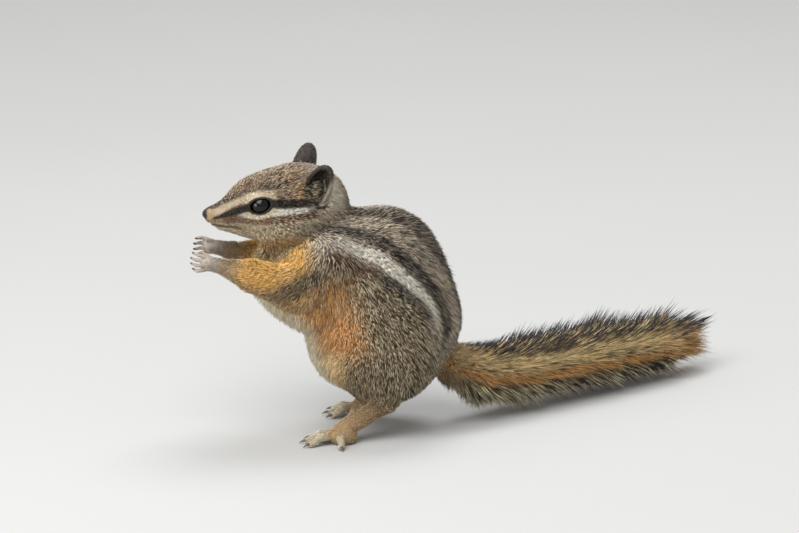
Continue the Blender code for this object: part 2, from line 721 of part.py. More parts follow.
def united(obj, pieces):
    """obj fused with all the pieces, which are then removed."""
    group = bpy.data.collections.new("pieces")
    for piece in pieces:
        group.objects.link(piece)
    fuse = obj.modifiers.new("fuse", "BOOLEAN")
    fuse.operation, fuse.solver = "UNION", "MANIFOLD"  # the exact solver leaves seams here
    fuse.operand_type, fuse.collection = "COLLECTION", group
    applied(obj)
    for piece in pieces:
        bpy.data.objects.remove(piece)
    bpy.data.collections.remove(group)
    return obj


def cut_at_floor(obj):
    """obj without what reaches below the floor, so that it rests on small flats."""
    high = TAIL_RADII[3]
    corners = [(x, y, z) for x in (0, FLOOR_SIZE[0]) for y in (0, FLOOR_SIZE[1]) for z in (-high, 0)]
    faces = ((0, 1, 3, 2), (4, 6, 7, 5), (0, 4, 5, 1), (2, 3, 7, 6), (0, 2, 6, 4), (1, 5, 7, 3))
    floor = closed_mesh("floor", corners, faces)
    cut = obj.modifiers.new("floor", "BOOLEAN")
    cut.operation, cut.solver, cut.object = "DIFFERENCE", "MANIFOLD", floor
    applied(obj)
    bpy.data.objects.remove(floor)
    return largest(obj)


def tail_length(n, name):
    """One of the tail's lengths: its core, with locks out to the tips of the coat."""
    field = both(core_shape(), clear_of(BODY, FACET_GAP))
    if n > 0:
        start = tail_cut(n)
        field = both(field, lambda points: start(points) + GAP / 2)
    if n < TAIL_LENGTHS - 1:
        field = both(field, clear_of(tail_cut(n + 1), GAP / 2))
    core = netted(name, field, box_round(TAIL_PATH, CORE_ROOM), *CORE_MESH)
    locks = [closed_mesh("lock", points, faces) for points, faces in locks_of(n)]
    return painted(cut_at_floor(united(core, locks)), BROWN)


def main():
    for obj in list(bpy.data.objects):
        bpy.data.objects.remove(obj)
    head()
    neck()
    torso()
    for side, word in ((LEFT, "left"), (RIGHT, "right")):
        for make in (ear, eye, upper_arm, forearm, hand, thigh, foot):
            make(side, f"{make.__name__}_{word}")
    for n in range(TAIL_LENGTHS):
        tail_length(n, f"tail_{n + 1}")


if __name__ == "__main__":
    main()
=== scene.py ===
"""The looks of a sitting chipmunk: its skin, coat, eyes, claws and whiskers round the frame.

Shapes are written in millimetres, as in the part's source, and the meshes are made in metres.
The animal faces -X, its left side is towards -Y and the floor is at z = 0.
"""

import itertools
import math

import bmesh
import bpy
import numpy as np
from mathutils import Matrix, Vector, kdtree


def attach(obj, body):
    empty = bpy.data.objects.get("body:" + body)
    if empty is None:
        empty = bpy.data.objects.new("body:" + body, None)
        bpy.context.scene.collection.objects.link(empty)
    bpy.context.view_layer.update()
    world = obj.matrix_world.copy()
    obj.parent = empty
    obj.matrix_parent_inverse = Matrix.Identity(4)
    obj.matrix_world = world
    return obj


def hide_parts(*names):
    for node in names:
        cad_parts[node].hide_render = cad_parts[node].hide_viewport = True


MM = 0.001
LEFT, RIGHT = 1, -1
SEED = 11

# The body's own frames, with the values of the part's source.
MIDDLE_Y, MIDDLE_SLOPE = 14.0, 0.1
HEAD_AT = Vector((-15.4, 9.0, 63.4))
HEAD_YAW, HEAD_PITCH, HEAD_ROLL = 17.0, 4.5, 0.0


def middle_y(x):
    """The y of the trunk's middle plane."""
    return MIDDLE_Y + MIDDLE_SLOPE * (x - 10)


def head_frame():
    """Columns are the head's forward, left and up directions in the row frame."""
    yaw, pitch, roll = (math.radians(a) for a in (HEAD_YAW, HEAD_PITCH, HEAD_ROLL))
    facing = Matrix(((-1, 0, 0), (0, -1, 0), (0, 0, 1)))
    turn = Matrix.Rotation(yaw, 3, "Z") @ facing
    return turn @ Matrix.Rotation(pitch, 3, "Y") @ Matrix.Rotation(-roll, 3, "X")


HEAD_TURN = head_frame()


def on_head(forward, left, up):
    """A place given in the head's own frame."""
    return HEAD_AT + HEAD_TURN @ Vector((forward, left, up))


def head_way(way, side):
    """A direction given in the head's own frame, mirrored for the right side."""
    forward, left, up = way
    return HEAD_TURN @ Vector((forward, side * left, up))


def beside_head(place, side):
    """A place given in the head's own frame, mirrored for the right side."""
    return HEAD_AT + head_way(place, side)


def on_trunk(x, left, z):
    """A place beside the trunk's middle plane."""
    return Vector((x, middle_y(x) - left, z))


def to_head(points):
    """The points' forward, left and up in the head's own frame."""
    return (points - np.array(HEAD_AT)) @ np.array(HEAD_TURN)


def left_of_middle(points):
    return middle_y(points[:, 0]) - points[:, 1]


# Shapes as distances: each function takes points of shape (n, 3) and returns n distances.
def egg(centre, radii, turn=None):
    """An ellipsoid, with its axes along the columns of turn."""
    centre, radii = np.array(centre, float), np.array(radii, float)
    axes = np.eye(3) if turn is None else np.array(turn, float)

    def distance(points):
        local = (points - centre) @ axes
        near = np.linalg.norm(local / radii, axis=1)
        steep = np.linalg.norm(local / radii**2, axis=1)
        return near * (near - 1) / np.maximum(steep, 1e-9)

    return distance


def limb(path, radii, blend=0.0):
    """A chain of round cones through the path, with a radius at each of its points."""
    path = [np.array(p, float) for p in path]

    def distance(points):
        found = None
        for a, b, ra, rb in zip(path, path[1:], radii, radii[1:]):
            along = b - a
            t = np.clip((points - a) @ along / (along @ along), 0, 1)
            d = np.linalg.norm(points - a - t[:, None] * along, axis=1) - (ra + t * (rb - ra))
            found = d if found is None else smooth_union(found, d, blend)
        return found

    return distance


def smooth_union(a, b, reach):
    """The nearer of two distances, rounded where they differ by less than reach."""
    if reach <= 0:
        return np.minimum(a, b)
    h = np.maximum(reach - np.abs(a - b), 0) / reach
    return np.minimum(a, b) - h * h * reach / 4


def pitched(degrees):
    """Axes turned about Y, so that an egg's long side leans in the profile."""
    return Matrix.Rotation(math.radians(degrees), 3, "Y")


def along(direction, up=(0, 0, 1)):
    """Axes with the first one along direction and the third as near to up as it can be."""
    first = Vector(direction).normalized()
    second = Vector(up).cross(first).normalized()
    return Matrix((first, second, first.cross(second))).transposed()


def past(place, direction):
    """The distance from all that lies past a plane: below zero there, above zero before it."""
    place, way = np.array(place, float), np.array(Vector(direction).normalized())
    return lambda points: (place - points) @ way


def blended(*shape_lists):
    """One distance for all (shape, blend) pairs, each rounded into those before it."""
    pairs = [pair for shapes in shape_lists for pair in shapes]

    def distance(points):
        found = None
        for shape, blend in pairs:
            d = shape(points)
            found = d if found is None else smooth_union(found, d, blend)
        return found

    return distance


def both(*fields):
    """Where all the fields overlap."""
    return lambda points: np.max([field(points) for field in fields], axis=0)


def clear_of(field, gap=0.0):
    """All that lies at least the gap outside the field."""
    return lambda points: gap - field(points)


def trunk_shapes(inset=0.0):
    """The trunk, from the haunches to the neck."""
    for place, radii, lean, blend in (
        ((12.2, 0, 29.0), (18.6, 17.0, 19.2), -8, 0),
        ((8.8, 0, 43.2), (17.0, 15.0, 17.8), -25, 7),
        ((-8.6, 0, 41.5), (17.5, 12.5, 11.2), 34, 6),
        ((3.4, 0, 26.0), (10.5, 12.5, 13.0), -25, 6),
    ):
        yield egg(on_trunk(*place), [r - inset for r in radii], pitched(lean)), blend
    neck = [on_head(-8, 0, -3.5), on_trunk(-3.0, 0, 49.0), on_trunk(2.0, 0, 44.0)]
    yield limb(neck, [r - inset for r in (9.0, 10.5, 11.0)], 4), 6


def head_shapes():
    """The skull, face, muzzle, jaw and cheeks."""
    yield egg(on_head(-2.8, 0, 1.2), (12.2, 9.8, 9.2), HEAD_TURN), 6
    yield egg(on_head(6.5, 0, 0.8), (9.0, 7.6, 8.0), HEAD_TURN), 4
    yield limb([on_head(9.5, 0, -0.4), on_head(19.6, 0, -0.1)], (6.8, 2.4)), 3
    yield limb([on_head(8.0, 0, -4.0), on_head(17.2, 0, -2.9)], (4.6, 2.0)), 2
    for side in (LEFT, RIGHT):
        yield egg(on_head(1.0, side * 5.2, -4.0), (9.0, 5.8, 6.0), HEAD_TURN), 4


# Joints of each arm, from the shoulder to the middle of the palm.
SHOULDER_AT = (-4.0, 9.0, 50.0)


def arm_joints(side, *further):
    x, left, z = SHOULDER_AT
    return on_trunk(x, side * left, z), *map(Vector, further)


ARM = {
    LEFT: arm_joints(LEFT, (-12.5, 0, 42.5), (-33, 2, 48.2), (-35.4, 2.2, 48.7)),
    RIGHT: arm_joints(RIGHT, (-13, 22, 42), (-32.6, 9.8, 51), (-34.9, 8.6, 51.7)),
}
SHOULDER_RADIUS, ELBOW_RADIUS, FOREARM_RADIUS, WRIST_RADIUS = 8.0, 6.4, 4.6, 1.9

# Joints of each leg, from the hip to the ball of the foot.
HEEL, BALL = 2, 3
LEG = {
    LEFT: tuple(map(Vector, ((15.5, 6, 25.5), (4.5, 2, 21), (10.5, 3, 10.5), (-0.8, 0, 3)))),
    RIGHT: tuple(map(Vector, ((17.5, 22.5, 25.5), (8.5, 26, 21), (16, 24, 10.5), (4.8, 26, 3)))),
}
THIGH_RADII, KNEE_RADIUS, ANKLE_RADIUS = (13.0, 8.5, 14.0), 6.0, 3.4
HEEL_RADIUS, BALL_RADIUS = 3.0, 2.3


def arm_shapes(side, insets=(0.0, 0.0, 0.0, 0.0)):
    """The upper arm and the forearm, each thinner by the insets at its joints."""
    shoulder, elbow, wrist, palm = ARM[side]
    radii = (SHOULDER_RADIUS, ELBOW_RADIUS, FOREARM_RADIUS, WRIST_RADIUS)
    r = [radius - inset for radius, inset in zip(radii, insets)]
    yield limb([shoulder, elbow], r[:2]), 5
    yield limb([elbow, elbow.lerp(wrist, 0.55), wrist, palm], (*r[1:], r[3]), 1), 2


def leg_shapes(side, thigh=0.0, knee=0.0, ankle=0.0):
    """The thigh and shank, each thinner by its inset."""
    hip, knee_at, heel, _ = LEG[side]
    yield egg(hip.lerp(knee_at, 0.4), [r - thigh for r in THIGH_RADII], pitched(-20)), 6
    yield limb([knee_at, heel], (KNEE_RADIUS - knee, ANKLE_RADIUS - ankle)), 4


BOTH_SIDES = (LEFT, RIGHT)
LIMBS = [pair for side in BOTH_SIDES for pair in (*arm_shapes(side), *leg_shapes(side))]
# The outline out to the tips of the coat, but for the ears, hands, feet and tail.
OUTLINE = blended(trunk_shapes(), head_shapes(), LIMBS)


def slope_of(field, points, step=0.1):
    """The field's unit slope at each point, which is the surface's normal."""
    found = np.empty_like(points)
    for axis in range(3):
        shift = np.zeros(3)
        shift[axis] = step
        found[:, axis] = field(points + shift) - field(points - shift)
    return found / np.maximum(np.linalg.norm(found, axis=1), 1e-9)[:, None]


def onto(field, place, height=0.0):
    """The place moved along the field's slope until it lies that high over the surface."""
    place = np.array([place], float)
    for _ in range(5):
        place = place - slope_of(field, place) * (field(place) - height)[:, None]
    return Vector(place[0])


# How deep the skin lies under the coat's tips.
TRUNK_DEPTH = 1.9
ARM_DEPTHS, LEG_DEPTHS = (1.8, 1.5, 1.0, 0.3), (1.9, 1.4, 0.7)
HEAD_DEPTH_AT, HEAD_DEPTHS = (-12, -4, 4, 10, 15, 18, 21), (2.0, 1.3, 1.0, 0.75, 0.5, 0.3, 0.15)
EYE_SHALLOW, EYE_SHALLOW_REACH = 0.5, 5.0
HAND_DEPTH, FOOT_DEPTH, EAR_HAIR = 0.12, 0.1, 0.15

EYE_AT, EYE_RADIUS, EYE_GAP = (7.9, 5.5, 2.0), 2.75, 0.08
EYE_LOOKS, LID_THICKNESS, LID_OPENING = (0.3, 1.0, 0.16), 0.34, (2.72, 1.8)
EYE_TILT = 0.15  # how much lower the eye's front corner lies, as a slope
LID_RIM, LID_REACH = 0.45, 2.4
NOSE_AT, NOSE_RADII = (21.0, 0, 0.3), (1.4, 1.5, 1.25)
NOSE_PAD_AT, NOSE_PAD_RADIUS = (21.7, 0, 0.3), 1.35
NOSTRIL_AT, NOSTRIL_RADII = (22.1, 0.95, 0.1), (0.9, 0.5, 0.55)
MOUTH = ((20.6, 0, -2.0), (18.8, 1.6, -2.9), (16.6, 3.2, -3.5), (14.0, 4.6, -4.3))
LIP_RADIUS, LIP_SUNK, MOUTH_GAP_RADIUS, MOUTH_GAP_HEIGHT = 0.8, 0.5, 0.45, 0.25


def eye_place(side):
    return beside_head(EYE_AT, side)


def from_eyes(points):
    """How far the points are from the nearer eye's middle."""
    away = [np.linalg.norm(points - np.array(eye_place(side)), axis=1) for side in BOTH_SIDES]
    return np.minimum(*away)


def head_depth(points):
    depth = np.interp(to_head(points)[:, 0], HEAD_DEPTH_AT, HEAD_DEPTHS)
    near = np.exp(-((from_eyes(points) / EYE_SHALLOW_REACH) ** 2))
    return depth * (1 - EYE_SHALLOW * near)


def bare_head():
    """The head's skin before its lids, nose and lips."""
    head, trunk = blended(head_shapes()), blended(trunk_shapes(TRUNK_DEPTH))
    return lambda points: smooth_union(trunk(points), head(points) + head_depth(points), 6)


BARE_HEAD = bare_head()


def lid_opening(side):
    """The space before the eye that the lids leave open."""
    centre = np.array(eye_place(side))
    axes = np.array(along(head_way(EYE_LOOKS, side), HEAD_TURN @ Vector((EYE_TILT, 0, 1))))

    def distance(points):
        out, back, up = ((points - centre) @ axes).T
        wide, high = LID_OPENING
        return np.maximum((np.hypot(back / wide, up / high) - 1) * high, -out)

    return distance


def lid_edge(points):
    """How far places on the lids are from the eyes' openings, up to the lids' reach."""
    edge = np.minimum(*[lid_opening(side)(points) for side in BOTH_SIDES])
    on_lids = from_eyes(points) < EYE_RADIUS + LID_REACH
    return np.where(on_lids, np.clip(edge, 0, LID_REACH), LID_REACH)


def mouth_path(side):
    return [onto(BARE_HEAD, beside_head(place, side)) for place in MOUTH]


MOUTH_PATHS = [mouth_path(side) for side in BOTH_SIDES]
MOUTH_LINE = blended([(limb(path, [0.0] * len(path)), 0) for path in MOUTH_PATHS])


def head_details():
    """(raised shapes, hollows) of the nose, nostrils, lips, mouth, lids and eye sockets."""
    raised, hollows = [(egg(on_head(*NOSE_AT), NOSE_RADII, HEAD_TURN), 0.6)], []
    for side, path in zip(BOTH_SIDES, MOUTH_PATHS):
        socket = EYE_RADIUS + EYE_GAP
        raised.append((egg(eye_place(side), [socket + LID_THICKNESS] * 3), 1.0))
        hollows.append(egg(eye_place(side), [socket] * 3))
        hollows.append(lid_opening(side))
        sunk = [p - (p - HEAD_AT).normalized() * LIP_SUNK for p in path]
        raised.append((limb(sunk, [LIP_RADIUS] * len(path)), 0.6))
        outer = [onto(BARE_HEAD, p, MOUTH_GAP_HEIGHT) for p in path]
        hollows.append(limb(outer, [MOUTH_GAP_RADIUS] * len(path)))
        hollows.append(egg(beside_head(NOSTRIL_AT, side), NOSTRIL_RADII, HEAD_TURN))
    return raised, hollows


# The ears: cups open outwards and forwards. Each is the back half of a shell. The right one is
# held a little higher.
EAR_AT = {LEFT: (-7.2, 8.4, 5.2), RIGHT: (-8.0, 8.4, 6.8)}
EAR_RADII, EAR_THICKNESS = (3.2, 3.7, 6.6), 0.8
EAR_OPENS, EAR_STANDS, EAR_DEPTH = (0.5, 0.85, 0.12), (-0.57, 0.2, 1.0), 0.9


def ear_frame(side):
    """(centre, axes) of an ear: the way that it opens, its width and its height."""
    axes = along(head_way(EAR_OPENS, side), head_way(EAR_STANDS, side))
    return beside_head(EAR_AT[side], side), axes


def to_ear(points, side):
    """The points' places along an ear's own axes."""
    centre, axes = ear_frame(side)
    return (points - np.array(centre)) @ np.array(axes)


def ear_shape(side):
    centre, axes = ear_frame(side)
    outer = [r - EAR_HAIR for r in EAR_RADII]
    inner = [r - EAR_THICKNESS for r in outer]
    opens = axes.col[0]
    rim = past(centre + opens * EAR_DEPTH, -opens)
    return both(egg(centre, outer, axes), clear_of(egg(centre, inner, axes)), rim)


def ear_inside(side):
    centre, axes = ear_frame(side)
    return egg(centre, [r - EAR_HAIR - EAR_THICKNESS + 0.25 for r in EAR_RADII], axes)


# The hands. Four fingers lie one above the other and curl inwards.
FINGER_LENGTHS, FINGER_SPACING = (3.2, 3.6, 3.5, 2.9), 1.45
FINGER_RADII, FINGER_CURL = (0.62, 0.54, 0.44), 1.5
PALM_RADII, FINGER_ROOT, HAND_CLAW = (1.9, 1.35, 2.1), 1.0, 0.9
THUMB, THUMB_RADII = ((0.2, -0.8, 1.6), (1.4, -1.7, 2.2)), (0.75, 0.5)


def hand_frame(side):
    _, elbow, wrist, palm = ARM[side]
    return palm, along(Vector((-1, 0, 0)) + (wrist - elbow).normalized() * 0.3)


def on_hand(side, places):
    """Places given as far ahead of the palm, to the hand's outer side and up."""
    palm, axes = hand_frame(side)
    return [palm + axes @ Vector((ahead, side * out, up)) for ahead, out, up in places]


def fingers(side):
    """(root, knuckle, tip, claw's end) of each finger."""
    for n, length in enumerate(FINGER_LENGTHS):
        up = (1.5 - n) * FINGER_SPACING
        ends = (
            (FINGER_ROOT, 0.2, up * 0.85),
            (FINGER_ROOT + length * 0.5, 0.25, up),
            (FINGER_ROOT + length * 0.9, -FINGER_CURL * 0.7, up),
            (FINGER_ROOT + length * 0.9 + HAND_CLAW * 0.7, -FINGER_CURL * 0.7 - HAND_CLAW * 0.7, up),
        )
        yield on_hand(side, ends)


def hand_shapes(side):
    """The palm, thumb and fingers."""
    palm, axes = hand_frame(side)
    yield egg(palm, PALM_RADII, axes), 1.0
    for root, knuckle, tip, _ in fingers(side):
        yield limb([root, knuckle, tip], FINGER_RADII, 0.2), 0.08
    yield limb(on_hand(side, THUMB), THUMB_RADII), 0.4


# The feet. For each toe, how far it reaches ahead of the ball and to the foot's outer side.
TOES = ((3.2, -4.8), (8.2, -2.8), (9.2, 0.6), (8.3, 4.4), (-0.6, 7.4))
TOE_RADII, TOE_PAD_Z, KNUCKLE_Z, TOE_ROOT_Z = (1.2, 0.95, 0.85), 0.85, 2.3, 2.2
SOLE_AT, SOLE_RADII = Vector((0.8, 0, 1.9)), (3.7, 3.2, 2.2)
FOOT_CLAW = 1.8


def toes(side):
    """(root, knuckle, tip, claw's end) of each toe."""
    ball = LEG[side][BALL]
    for ahead, out in TOES:
        way = Vector((-ahead, -side * out, 0))
        length = way.length
        way.normalize()
        stops = ((1.3, TOE_ROOT_Z), (length * 0.6, KNUCKLE_Z), (length - 0.9, TOE_PAD_Z))
        places = [Vector((ball.x, ball.y, 0)) + way * run + Vector((0, 0, z)) for run, z in stops]
        claw = places[2] + way * (FOOT_CLAW + 0.6)
        claw.z = 0.35
        yield *places, claw


def foot_shapes(side):
    """The foot from the heel to its toes."""
    _, _, heel, ball = LEG[side]
    yield limb([heel, ball], (HEEL_RADIUS, BALL_RADIUS)), 3
    yield egg(Vector((ball.x, ball.y, 0)) + SOLE_AT, SOLE_RADII), 1.5
    for root, knuckle, tip, _ in toes(side):
        yield limb([root, knuckle, tip], TOE_RADII, 0.4), 0.25


# The tail: places along its axis from the rump, and the coat's upright radius at each of them.
TAIL_PATH = (
    (25.0, 12.6, 21.0),
    (28.9, 16.0, 17.9),
    (36.0, 22.2, 13.8),
    (46.9, 31.1, 12.0),
    (68.0, 48.8, 11.0),
    (84.0, 62.2, 10.0),
    (92.0, 68.9, 9.6),
)
TAIL_RADII = (5.0, 7.2, 9.6, 11.2, 11.4, 10.2, 6.0)
TAIL_FLATNESS = 0.8
TAIL_SKIN_RADII = (4.0, 3.4, 3.0, 2.7, 2.2, 1.5, 0.8)


def tail_shape():
    return limb([Vector(p) for p in TAIL_PATH], TAIL_SKIN_RADII, 2)


def inset(field, depth):
    return lambda points: field(points) + depth


def skin_field():
    """The whole skin: the body under its coat, with the head's details, ears, hands and feet."""
    raised, hollows = head_details()
    limbs = []
    for side in BOTH_SIDES:
        limbs += [*arm_shapes(side, ARM_DEPTHS), *leg_shapes(side, *LEG_DEPTHS)]
        limbs += [(inset(blended(hand_shapes(side)), HAND_DEPTH), 0.8)]
        limbs += [(inset(blended(foot_shapes(side)), FOOT_DEPTH), 2.0)]
    body = blended([(BARE_HEAD, 0)], raised, limbs, [(tail_shape(), 3)])
    cut = both(body, *[clear_of(hollow) for hollow in hollows])
    ears = [(ear_shape(side), 0.8) for side in BOTH_SIDES]
    return both(blended([(cut, 0)], ears), past((0, 0, 0.02), (0, 0, 1)))


def sampled(field, low, high, step, block=12):
    """The field on a grid. Blocks that lie well off the surface take their centre's value."""
    counts = [int(math.ceil((h - l) / step / block)) * block for l, h in zip(low, high)]
    values = np.empty(counts)
    steps = np.arange(block) * step
    local = np.stack(np.meshgrid(steps, steps, steps, indexing="ij"), -1).reshape(-1, 3)
    starts = [np.arange(0, n, block) for n in counts]
    corners = np.stack(np.meshgrid(*starts, indexing="ij"), -1).reshape(-1, 3)
    origin = np.array(low, float)
    centres = field(origin + (corners + (block - 1) / 2) * step)
    reach = block * step * 1.1
    for corner, middle in zip(corners, centres):
        i, j, k = corner
        if abs(middle) > reach:
            values[i : i + block, j : j + block, k : k + block] = middle
            continue
        d = field(origin + corner * step + local)
        values[i : i + block, j : j + block, k : k + block] = d.reshape((block,) * 3)
    return values


def contoured(field, low, high, step):
    """(points, triangles) where the field is zero, found in the six tetrahedra of each grid cube."""
    values = sampled(field, low, high, step)
    inside = values < 0
    strides = np.array([values.shape[1] * values.shape[2], values.shape[2], 1])
    near = sum(
        inside[i : i - 1 or None, j : j - 1 or None, k : k - 1 or None].astype(np.int8)
        for i, j, k in itertools.product((0, 1), repeat=3)
    )
    base = np.argwhere((near > 0) & (near < 8)) @ strides
    crossings = []
    for order in itertools.permutations(range(3)):
        corners = base[:, None] + np.concatenate([[0], np.cumsum(strides[list(order)])])
        code = (inside.ravel()[corners] * (1, 2, 4, 8)).sum(1)
        for pattern in range(1, 15):
            found = corners[code == pattern]
            inner = [n for n in range(4) if pattern >> n & 1]
            outer = [n for n in range(4) if not pattern >> n & 1]
            if len(inner) == 2:
                (a, b), (c, d) = inner, outer
                triangles = [((a, c), (a, d), (b, d)), ((a, c), (b, d), (b, c))]
            else:
                triangles = [[(a, b) for a in inner for b in outer]]
            crossings += [found[:, np.array(triangle)] for triangle in triangles]
    crossings = np.concatenate(crossings).reshape(-1, 2)
    codes, index = np.unique(crossings @ (values.size, 1), return_inverse=True)
    edges = np.stack([codes // values.size, codes % values.size], -1)
    ends = np.stack(np.unravel_index(edges, values.shape), -1)
    inner_value, outer_value = values.ravel()[edges].T
    t = np.clip(inner_value / (inner_value - outer_value), 0.03, 0.97)[:, None]
    points = ends[:, 0] * (1 - t) + ends[:, 1] * t
    triangles = index.reshape(-1, 3)
    a, b, c = (points[triangles[:, n]] for n in range(3))
    outward = (ends[triangles, 1] - ends[triangles, 0]).sum(1)
    wrong = (np.cross(b - a, c - a) * outward).sum(1) < 0
    triangles[wrong] = triangles[wrong][:, ::-1]
    return np.array(low, float) + points * step, triangles


def mesh_from(name, points, triangles, smooth=True):
    """A mesh from points in millimetres and triangles, both as arrays."""
    mesh = bpy.data.meshes.new(name)
    mesh.vertices.add(len(points))
    mesh.vertices.foreach_set("co", (points * MM).astype(np.float32).ravel())
    mesh.loops.add(triangles.size)
    mesh.loops.foreach_set("vertex_index", triangles.astype(np.int32).ravel())
    mesh.polygons.add(len(triangles))
    mesh.polygons.foreach_set("loop_start", np.arange(0, triangles.size, 3, dtype=np.int32))
    mesh.polygons.foreach_set("use_smooth", np.full(len(triangles), smooth))
    mesh.update(calc_edges=True)
    return mesh


def placed(name, data, material=None):
    """A new object in the scene, of a mesh, a camera or a lamp."""
    obj = bpy.data.objects.new(name, data)
    bpy.context.scene.collection.objects.link(obj)
    if material:
        data.materials.append(material)
    return obj


def coloured(mesh, colours):
    """Stores a colour for each of the mesh's points."""
    layer = mesh.color_attributes.new("marking", "FLOAT_COLOR", "POINT")
    rgba = np.ones((len(colours), 4), np.float32)
    rgba[:, :3] = np.clip(colours, 0, 1)
    layer.data.foreach_set("color", rgba.ravel())


# Colours of the coat and skin, as linear values.
CROWN = (0.28, 0.17, 0.1)
BROW_CREAM, BROW_DARK = (0.8, 0.67, 0.47), (0.07, 0.038, 0.02)
EYE_BLACK, FACE_WHITE, RUFOUS = (0.02, 0.013, 0.01), (0.92, 0.88, 0.78), (0.24, 0.1, 0.035)
CHEEK, CHIN, THROAT, MUZZLE = (0.72, 0.58, 0.38), (0.66, 0.5, 0.29), (0.8, 0.45, 0.12), (0.72, 0.52, 0.3)
EAR_BASE, BEHIND_EAR, NAPE = (0.46, 0.24, 0.07), (0.92, 0.84, 0.68), (0.56, 0.48, 0.38)
EAR_DARK, EAR_BACK, EAR_RIM = (0.028, 0.017, 0.01), (0.06, 0.047, 0.043), (0.05, 0.032, 0.022)
EAR_EDGE, CHEST = (0.6, 0.53, 0.43), (0.66, 0.5, 0.28)
SADDLE_DARK, SADDLE_GREY = (0.07, 0.052, 0.046), (0.52, 0.43, 0.34)
STRIPE_DARK, STRIPE_WHITE, STRIPE_RUST = (0.03, 0.024, 0.024), (0.95, 0.89, 0.77), (0.16, 0.06, 0.025)
SHOULDER_GREY, FLANK, FLANK_LOW = (0.54, 0.42, 0.26), (0.76, 0.4, 0.13), (0.76, 0.33, 0.08)
BELLY_BUFF, BELLY_CREAM = (0.92, 0.64, 0.31), (0.98, 0.83, 0.6)
HAUNCH = (0.23, 0.165, 0.085)
# the arm's under colour is painted shade where the arm faces down; its dark colour is partly dark fur and
# partly painted shadow
ARM_ORANGE, ARM_DARK_FUR_AND_SHADOW, ARM_UNDER_PAINTED_SHADE = (0.82, 0.47, 0.12), (0.06, 0.05, 0.042), (0.5, 0.3, 0.12)
# the hand's dark colour is painted shade where the hand faces sideways and down
WRIST, HAND, HAND_PAINTED_SHADE = (0.42, 0.3, 0.18), (0.44, 0.38, 0.32), (0.12, 0.1, 0.09)
SHANK, FOOT, TOE = (0.34, 0.22, 0.1), (0.56, 0.36, 0.17), (0.78, 0.69, 0.5)
TAIL_ORANGE, TAIL_BUFF, TAIL_BLACK = (0.8, 0.42, 0.13), (0.95, 0.7, 0.36), (0.026, 0.022, 0.021)
TAIL_PALE, TAIL_BROWN = (0.97, 0.83, 0.54), (0.16, 0.105, 0.05)
BARE_SKIN, NOSE_SKIN, LID_SKIN = (0.3, 0.2, 0.16), (0.035, 0.025, 0.022), (0.012, 0.009, 0.008)

# Stripes of the face: how high each one's middle lies at each forward place in the head's frame.
BROW_LINE = ((-6, 8.8), (-3, 8.0), (0, 7.0), (5.2, 6.5), (10.2, 5.8), (12.7, 5.0), (15.1, 3.9), (20, 2.0))
BROW_STRIPE = (
    (-2.5, 6.1), (3.5, 5.2), (6, 5.2), (8.4, 5.3), (11, 4.7), (13.1, 3.7), (15.6, 2.5), (20.3, 0.4),
)
EYE_LINE = (
    (-4.3, 1.7), (3.6, 2.4), (6, 2.6), (9.1, 2.5), (12.3, 1.8), (14.8, 0.9), (17.2, 0.1), (19.4, -0.6),
)
EYE_LINE_HALF = ((-4, 1.05), (4, 1.15), (12, 1.15), (15, 0.9), (20, 0.4))
UNDER_EYE = ((-6.5, 1.0), (-4, 0.1), (4, 0.3), (6.5, 0.2), (9.1, -0.4), (11.4, -0.1), (13.7, 0.5))
RUFOUS_LINE = ((-6.7, -1.5), (1.7, -1.7), (4.3, -1.4), (9.2, -1.7), (13.8, -1.0), (17.3, -1.5))

# Stripes of the back: the side view's centre and, at angles round it, the back's radius and how
# far each stripe's middle lies from the dorsal line, measured across the back. The back is rolled
# towards the left, so the dorsal line lies that far to the left of the middle plane.
BACK_CENTRE = (7.2, 36.9)
BACK_RADIUS = (
    (-40, 24), (-16, 22.9), (9, 21.4), (26, 21.2), (44, 22), (59, 23), (71, 23.8), (98, 25), (125, 26),
)
DORSAL_SHIFT = ((-40, 3.0), (60, 3.0), (85, 2.5), (110, 1.5))
GREY_STRIPE = ((-6, 4.5), (11, 4.7), (22, 5.2), (34, 6.6), (51, 7.6), (69, 7.2), (87, 5.4), (105, 5.6))
DARK_STRIPE = ((-13, 8.0), (8, 9.0), (29, 10.7), (43, 11.8), (65, 12.0), (86, 10.4), (97, 9.2), (107, 9.5))
WHITE_STRIPE = (
    (-7, 10.6), (3, 11.5), (12, 12.6), (26, 13.7), (42, 14.6), (61, 15.6), (85, 14.8), (115, 13.6),
)
WHITE_HALF = ((0, 1.1), (40, 1.5), (80, 1.5), (110, 1.8))
SIDE_STRIPE = ((-5, 13.4), (5, 14.4), (16, 15.7), (34, 16.8), (46, 17.8), (65, 18.6), (84, 18.7), (120, 18.2))


def smooth(low, high, value):
    """0 at low and beyond, 1 at high and beyond, with a soft step between them."""
    t = np.clip((value - low) / (high - low), 0, 1)
    return t * t * (3 - 2 * t)


def band(value, middle, half, soft=0.35):
    """1 within half of the middle, 0 outside, with soft edges."""
    return 1 - smooth(half - soft, half + soft, np.abs(value - middle))


def read(line, value):
    """A line of (place, height) pairs, read at each value."""
    return np.interp(value, *zip(*line))


def over(colours, layer, weight):
    """The colours with a layer's colour painted over them as strongly as the weight says."""
    return colours + (np.array(layer) - colours) * np.asarray(weight)[:, None]


def layered(colours, *layers):
    """The colours with each (layer, weight) painted over them in turn."""
    for layer, weight in layers:
        colours = over(colours, layer, weight)
    return colours


def filled(colour, points):
    """One colour for all the points."""
    return np.tile(np.array(colour), (len(points), 1))


def back_angle(points):
    """The angle of each point round the back's centre, in degrees up from the tail's side."""
    return np.degrees(np.arctan2(points[:, 2] - BACK_CENTRE[1], points[:, 0] - BACK_CENTRE[0]))


